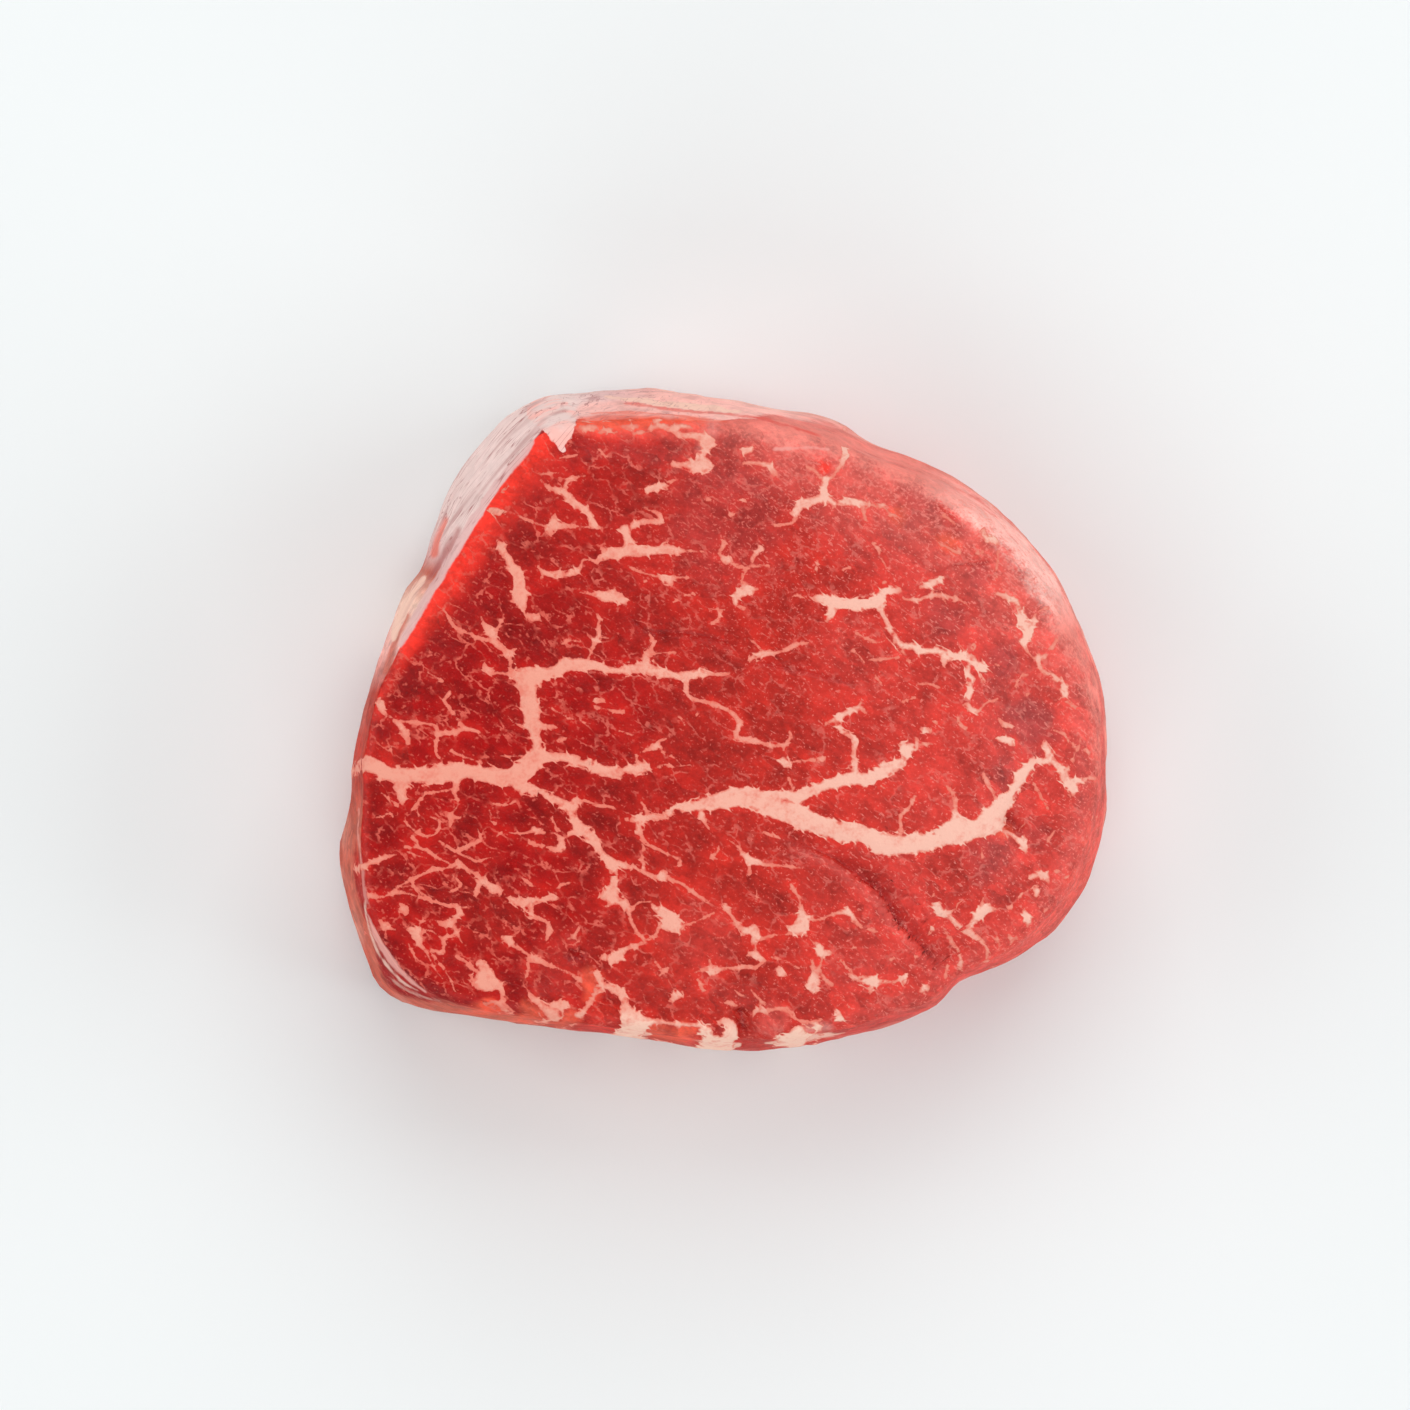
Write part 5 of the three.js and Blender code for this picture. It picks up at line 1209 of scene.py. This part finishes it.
# %% Node group: flecks
FLECK_NONE = 0.75  # the noise above which there is a fleck, where the share is 0
FLECK_SPREAD = 0.13  # how far a share of 1 lowers it
FLECK_EDGE = 0.07  # noise over which a fleck comes in
FLECK, ins, outs = new_group("Flecks", ["Place", "Wave", "Share"], ["Mask"])
threshold = math_node(FLECK, "MULTIPLY_ADD", ins["Share"], -FLECK_SPREAD, FLECK_NONE)
over = math_node(FLECK, "SUBTRACT", noise_from(FLECK, ins["Place"], ins["Wave"], 2.0), threshold)
FLECK.links.new(ease(FLECK, over, 0.0, FLECK_EDGE), outs["Mask"])

# %% Node group: films
BEND_SCALE = 0.7  # 1/mm: how often a film bends
FILM, ins, outs = new_group("Films", ["Place", "Wave", "Bend"], ["Distance", "Bundle"])
bend_noise = add(FILM, "ShaderNodeTexNoise", {"Vector": ins["Place"], "Scale": BEND_SCALE, "Detail": 3.0})
bend = scaled(FILM, bend_noise.outputs["Color"], ins["Bend"])
wander = add(FILM, "ShaderNodeVectorMath", {0: ins["Place"], 1: bend}, operation="ADD")
cells = {"Vector": wander.outputs[0], "Scale": math_node(FILM, "DIVIDE", 1.0, ins["Wave"])}
borders = add(FILM, "ShaderNodeTexVoronoi", cells, feature="DISTANCE_TO_EDGE")
bundles = add(FILM, "ShaderNodeTexVoronoi", cells, feature="F1")
own_number = add(FILM, "ShaderNodeSeparateColor", {0: bundles.outputs["Color"]})
FILM.links.new(math_node(FILM, "MULTIPLY", borders.outputs["Distance"], ins["Wave"]), outs["Distance"])
FILM.links.new(own_number.outputs["Red"], outs["Bundle"])
print("node groups:", [group.name for group in (UNEVEN, FLECK, FILM)])

# %% Raw beef material: its places
raw_beef = bpy.data.materials.new("raw_beef")
raw_beef.use_nodes = True
tree = raw_beef.node_tree
shader = tree.nodes["Principled BSDF"]
GRAIN_ANGLE = -36  # degrees from +X, the way the muscle's bundles are drawn out
BUNDLE_STRETCH, STRAND_STRETCH = (1.6, 1.0, 2.0), (2.6, 1.0, 2.5)
EAST = (-30.0, 30.0)  # mm along X from the cold west to the soft east


def attribute(name, output="Fac"):
    return add(tree, "ShaderNodeAttribute", attribute_name=name).outputs[output]


def rgba(colour):
    return (*(float(c) for c in colour), 1.0)


def blend(share, first, second):
    return add(tree, "ShaderNodeMix", {0: share, 6: first, 7: second}, data_type="RGBA").outputs[2]


def times(value, *others):
    for other in others:
        value = math_node(tree, "MULTIPLY", value, other)
    return value


def drawn_out(degrees, stretch):
    """Places for a pattern that is drawn out along the direction at degrees from +X."""
    inputs = {"Vector": place, "Rotation": (0, 0, math.radians(degrees)), "Scale": stretch}
    return add(tree, "ShaderNodeMapping", inputs, vector_type="TEXTURE").outputs[0]


def wave(length, height, where=None):
    """Unevenness from -height to height in waves of a length, both in mm."""
    where = place if where is None else where
    return place_group(tree, UNEVEN, Place=where, Wave=length, Height=height)[0]


def uneven(value, *waves, where=None):
    """A value with unevenness added: for each wave its length and its height."""
    for length, height in waves:
        value = math_node(tree, "ADD", value, wave(length, height, where))
    return value


place = scaled(tree, add(tree, "ShaderNodeTexCoord").outputs["Object"], 1 / MM)
along_bundles = drawn_out(GRAIN_ANGLE, BUNDLE_STRETCH)
along_strands = drawn_out(GRAIN_ANGLE, STRAND_STRETCH)
east = ease(tree, add(tree, "ShaderNodeSeparateXYZ", {0: place}).outputs["X"], *EAST)

# %% [markdown]
# The muscle is packed from bundles two or three millimetres across, with a film of pale tissue
# between them. Fat borders on whole bundles, so its border is scalloped, and where a film runs
# into a seam, the fat widens to a small thorn.

# %% Raw beef material: fat
FAT_WARM = pigment(240, 160, 140)
FAT_PALE = pigment(246, 192, 174)
FAT_EDGE = pigment(230, 116, 99)
BUNDLE, BUNDLE_BEND = 2.1, 2.0  # mm: its size, and how far the films round it wander
BULGE_SLOPE, BULGE_LOW, BULGE_HIGH = 0.6, -0.14, 0.12  # how a bundle bulges: per mm from its film, mm
THORN_WIDTH, THORN_LENGTH = 0.2, 0.22  # mm
BORDER_WAVES = [(2.0, 0.2), (0.7, 0.16)]  # mm
BORDER_GRAIN = (0.36, 0.13)  # mm
THIN_SMOOTHER = (0.1, 1.1, 0.35, 1.0)  # width in mm, and share of the waves on such a seam
BORDER_EDGE = (0.05, -0.07)  # mm over which the lean turns to fat
CORE_EDGE = (0.02, -0.32)  # mm over which the fat's pink edge turns to its own colour
THIN_PINKER = (0.2, 0.9, 0.2, 1.0)  # width in mm, and share of its own colour in such a seam
MOTTLE_WEST, MOTTLE_MORE_EAST = 0.2, -0.15
MOTTLE_WAVES = [(2.4, 0.5), (0.9, 0.4), (0.35, 0.3)]
MOTTLE_EDGE = (0.05, 0.7, 0.0, 0.7)
girth_mm = attribute("girth")
film_gap, bundle, *_ = place_group(tree, FILM, Place=along_bundles, Wave=BUNDLE, Bend=BUNDLE_BEND)
bulge = math_node(tree, "MULTIPLY_ADD", film_gap, BULGE_SLOPE, BULGE_LOW)
bulge = math_node(tree, "MINIMUM", bulge, BULGE_HIGH)
thorn = ease(tree, film_gap, THORN_WIDTH, 0.0, 0.0, -THORN_LENGTH)
ragged = uneven(math_node(tree, "ADD", bulge, thorn), *BORDER_WAVES)
ragged = uneven(times(ragged, ease(tree, girth_mm, *THIN_SMOOTHER)), BORDER_GRAIN)
ragged = math_node(tree, "ADD", attribute("fat"), ragged)
fat_mask = ease(tree, ragged, *BORDER_EDGE)
fat_depth = times(ease(tree, ragged, *CORE_EDGE), ease(tree, girth_mm, *THIN_PINKER))
fat_body = blend(east, rgba(FAT_WARM), rgba(FAT_PALE))
fat_body = blend(attribute("pale"), fat_body, rgba(CREAM))
fat_colour = blend(fat_depth, rgba(FAT_EDGE), fat_body)
mottle = uneven(math_node(tree, "MULTIPLY_ADD", east, MOTTLE_MORE_EAST, MOTTLE_WEST), *MOTTLE_WAVES)
fat_colour = blend(ease(tree, mottle, *MOTTLE_EDGE), fat_colour, rgba(FAT_EDGE))

# %% [markdown]
# The lean between is blotched and grained, each bundle a little lighter or darker than the next,
# and brighter where it lies against fat. The pale pink of the rim, its own tone with a painted
# glow and sheen of the thin edge, comes in along the bundles.

# %% Raw beef material: lean
BESIDE_FAT = (1.2, 0.1, 0.0, 0.16)  # mm from the fat, and share of bright red there
FLANK_WAVE = (1.5, 0.5)
GLOW_WAVE, GLOW_STREAK = (0.34, 0.5), (1.6, 0.6)
GLOW_EDGE, GLOW_WITHIN = (0.05, 0.95), (0.0, 0.5)
DARKEST_BUNDLE, BUNDLE_RANGE = 0.85, 0.3
LIGHT_WAVES, LIGHT_STREAK = [(4.5, 0.35), (0.36, 0.22)], (0.9, 0.38)
beside_fat = ease(tree, attribute("fat"), *BESIDE_FAT)
lean = blend(beside_fat, attribute("tone", "Color"), rgba(BRIGHT_RED))
flank_share = ease(tree, uneven(attribute("flank"), FLANK_WAVE), 0.0, 1.0)
lean = blend(flank_share, lean, attribute("flank_tone", "Color"))
glow_share = uneven(uneven(attribute("glow"), GLOW_WAVE), GLOW_STREAK, where=along_bundles)
glow_share = times(ease(tree, glow_share, *GLOW_EDGE), ease(tree, attribute("glow"), *GLOW_WITHIN))
lean = blend(glow_share, lean, attribute("rim_tone", "Color"))
lightness = math_node(tree, "MULTIPLY_ADD", bundle, BUNDLE_RANGE, DARKEST_BUNDLE)
lightness = uneven(uneven(lightness, *LIGHT_WAVES), LIGHT_STREAK, where=along_bundles)
short_of_even = math_node(tree, "SUBTRACT", 1.0, lightness)
lightness = math_node(tree, "MULTIPLY_ADD", attribute("calm"), short_of_even, lightness)
lean = scaled(tree, lean, lightness)

# %% [markdown]
# Films show between the bundles as broken lines, and finer ones between the strands within them.
# Specks and short strokes of the same pale tissue are scattered over the lean; the specks are
# partly painted glints of the wet grain.

# %% Raw beef material: films and specks
FILM_PINK = pigment(228, 106, 91)
SPECK_PINK = pigment(238, 138, 126)
STRAND, STRAND_BEND = 0.8, 0.9  # mm
PATCHY, BROKEN = (2.6, 1.0), (0.7, 1.0)  # waves that thin the films out, and that break them
BUNDLE_FILM_WAVE, STRAND_FILM_WAVE = (0.4, 0.12), (0.5, 0.2)
BUNDLE_FILM, STRAND_FILM = (0.15, 0.06), (0.1, 0.0, 0.0, 0.7)  # mm from its middle, and its strength
BUNDLE_PATCHES, BUNDLE_BREAKS, STRAND_BREAKS = (-0.2, 0.3), (-0.25, 0.05, 0.15, 1.0), (0.15, 0.35)
FILM_STRENGTH = 0.8
SPECK_SIZE, SHORT_STROKE_SIZE = 0.36, 0.34  # mm
SPECK_STRENGTH = (0.2, 1.0, 0.45, 0.6)  # share of the way east, and strength there
patchy, broken = wave(*PATCHY), wave(*BROKEN)
strand_gap, *_ = place_group(tree, FILM, Place=along_strands, Wave=STRAND, Bend=STRAND_BEND)
bundle_film = ease(tree, uneven(film_gap, BUNDLE_FILM_WAVE), *BUNDLE_FILM)
bundle_film = times(bundle_film, ease(tree, patchy, *BUNDLE_PATCHES), ease(tree, broken, *BUNDLE_BREAKS))
strand_film = ease(tree, uneven(strand_gap, STRAND_FILM_WAVE), *STRAND_FILM)
strand_film = times(strand_film, ease(tree, broken, *STRAND_BREAKS))
film_mask = times(math_node(tree, "MAXIMUM", bundle_film, strand_film), attribute("films"))
specks, *_ = place_group(tree, FLECK, Place=place, Wave=SPECK_SIZE, Share=attribute("flecks"))
short, *_ = place_group(tree, FLECK, Place=along_strands, Wave=SHORT_STROKE_SIZE, Share=attribute("flecks"))
# specks of pale tissue, partly painted glints of the wet grain
speck_and_glint_mask = times(math_node(tree, "MAXIMUM", specks, short), ease(tree, east, *SPECK_STRENGTH))
tissue = math_node(tree, "MAXIMUM", times(film_mask, FILM_STRENGTH), speck_and_glint_mask)
lean = blend(tissue, lean, blend(east, rgba(FILM_PINK), rgba(SPECK_PINK)))

# %% [markdown]
# The silverskin is a shining pale sheet with long thin diagonal lines and brown stains. A tongue
# of it lies over the rim, and the crisp strokes are drawn beside it.

# %% Raw beef material: silverskin and strokes
SKIN_SHADE = pigment(178, 110, 108)
TONGUE_WAVES, TONGUE_BORDER = [(1.0, 0.5), (0.4, 0.08)], (0.08, -0.08)  # mm
TONGUE_MIX = (-0.4, 0.4)
STROKE_WAVES, STROKE_BORDER = [(1.6, 0.25), (0.5, 0.08)], (0.15, -0.15)  # mm
STREAK_ANGLE, STREAK_STRETCH = 50, (12.0, 1.0, 2.5)
STREAK_WAVE, STREAK_LINE, STREAK_PATCHES = (0.8, 1.0), (0.07, 0.0), (-0.3, 0.3, 0.2, 1.0)
STREAK_STRENGTH = 0.85
STAIN_WAVE, STAIN_EDGE = (1.6, 1.0), (0.0, 0.6, 0.0, 0.6)
skin_share = attribute("skin")
tongue_share = ease(tree, uneven(attribute("tongue"), *TONGUE_WAVES), *TONGUE_BORDER)
lean = blend(tongue_share, lean, blend(ease(tree, patchy, *TONGUE_MIX), rgba(SILVER), rgba(TISSUE_PINK)))
stroke_share = ease(tree, uneven(attribute("stroke"), *STROKE_WAVES), *STROKE_BORDER)
lean = blend(stroke_share, lean, attribute("stroke_tone", "Color"))
along_streaks = drawn_out(STREAK_ANGLE, STREAK_STRETCH)
streaks = ease(tree, math_node(tree, "ABSOLUTE", wave(*STREAK_WAVE, along_streaks)), *STREAK_LINE)
streaks = times(streaks, ease(tree, patchy, *STREAK_PATCHES))
streaks = times(streaks, math_node(tree, "MAXIMUM", skin_share, tongue_share))
lean = blend(times(streaks, STREAK_STRENGTH), lean, rgba(SKIN_SHADE))
stain = times(ease(tree, wave(*STAIN_WAVE, along_streaks), *STAIN_EDGE), skin_share)
lean = blend(stain, lean, rgba(SKIN_SHADE))
tree.links.new(blend(fat_mask, lean, fat_colour), shader.inputs["Base Color"])

# %% [markdown]
# The cut is wet, and its grain breaks the shine into points. Water in the folds makes it
# glossier, and towards the wall it is drier and duller.

# %% Raw beef material: wet surface
FIBRE_WAVES = [(0.5, 0.05), (0.22, 0.025)]  # mm
FAT_STANDS, STREAKS_SINK = 0.03, -0.02  # mm
BUMP_STRENGTH = 0.9
ROUGHNESS, ROUGHER_WET, ROUGHER_DRY = 0.4, -0.15, 0.25
MOISTURE = (1.7, 0.16)
SHINE, SHINIER_DRY = 0.2, -0.13
relief = uneven(times(fat_mask, FAT_STANDS), *FIBRE_WAVES)
relief = math_node(tree, "MULTIPLY_ADD", streaks, STREAKS_SINK, relief)
bump = add(tree, "ShaderNodeBump", {"Height": relief, "Strength": BUMP_STRENGTH, "Distance": MM})
tree.links.new(bump.outputs["Normal"], shader.inputs["Normal"])
roughness = math_node(tree, "MULTIPLY_ADD", attribute("wet_and_shade"), ROUGHER_WET, uneven(ROUGHNESS, MOISTURE))
roughness = math_node(tree, "MULTIPLY_ADD", attribute("dry"), ROUGHER_DRY, roughness, clamp=True)
tree.links.new(roughness, shader.inputs["Roughness"])
shine = math_node(tree, "MULTIPLY_ADD", attribute("dry"), SHINIER_DRY, SHINE)
tree.links.new(shine, shader.inputs["Specular IOR Level"])
print("raw beef:", len(tree.nodes), "nodes")

# %% [markdown]
# The finished mesh rides on the solid's body, and is shown in its place.

# %% Put the steak in the solid's place
beef.data.materials.append(raw_beef)
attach(beef, "root")
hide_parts("steak")

# %% [markdown]
# ## Table, light and camera
# The steak lies on a plain pale table. A large soft light stands to the north, as a window
# would, with a weaker one on each other side, and the air above the steak is kept dim: a bright
# ceiling would lay a grey haze over the dark wet lean. The camera looks straight down.

# %% Table
TABLE_SIZE = 3.0  # metres
PAPER = {"Base Color": (0.845, 0.88, 0.884, 1), "Roughness": 0.9, "Specular IOR Level": 0.1}
table = new_object("table", bpy.data.meshes.new("table"))
table_form = bmesh.new()
bmesh.ops.create_grid(table_form, x_segments=1, y_segments=1, size=TABLE_SIZE / 2)
table_form.to_mesh(table.data)
table_form.free()
paper = bpy.data.materials.new("paper")
paper.use_nodes = True
for socket, value in PAPER.items():
    paper.node_tree.nodes["Principled BSDF"].inputs[socket].default_value = value
table.data.materials.append(paper)

# %% Lights
AIR = 0.3  # strength of the light from all round
LIGHTS = [  # name, where it stands in metres, its side in metres, its power in watts
    ("north window", (0.15, 1.1, 1.15), 1.3, 11.6),
    ("south fill", (-0.1, -1.3, 0.85), 1.4, 9.6),
    ("west fill", (-1.3, 0.1, 0.8), 1.2, 8.6),
    ("east fill", (1.3, 0.0, 0.75), 1.2, 9.6),
]
for name, stand, side, power in LIGHTS:
    lamp = bpy.data.lights.new(name, "AREA")
    lamp.size = side
    lamp.energy = power
    light = new_object(name, lamp)
    light.location = stand
    light.rotation_euler = (-Vector(stand)).to_track_quat("-Z", "Y").to_euler()
world = bpy.data.worlds.new("studio")
world.use_nodes = True
world.node_tree.nodes["Background"].inputs["Color"].default_value = (1, 1, 1, 1)
world.node_tree.nodes["Background"].inputs["Strength"].default_value = AIR
bpy.context.scene.world = world
bpy.context.scene.view_settings.view_transform = "Standard"
print(len(LIGHTS), "lights,", sum(power for *_, power in LIGHTS), "watts")

# %% Camera
CAMERA_PLACE = np.array([-2.0, 1.47, 900.0]) * MM
LENS = 187.9  # mm
camera = new_object("camera", bpy.data.cameras.new("camera"))
camera.location = CAMERA_PLACE
camera.data.lens = LENS
camera.data.clip_start = 0.1
camera.data.clip_end = 10.0
bpy.context.scene.camera = camera
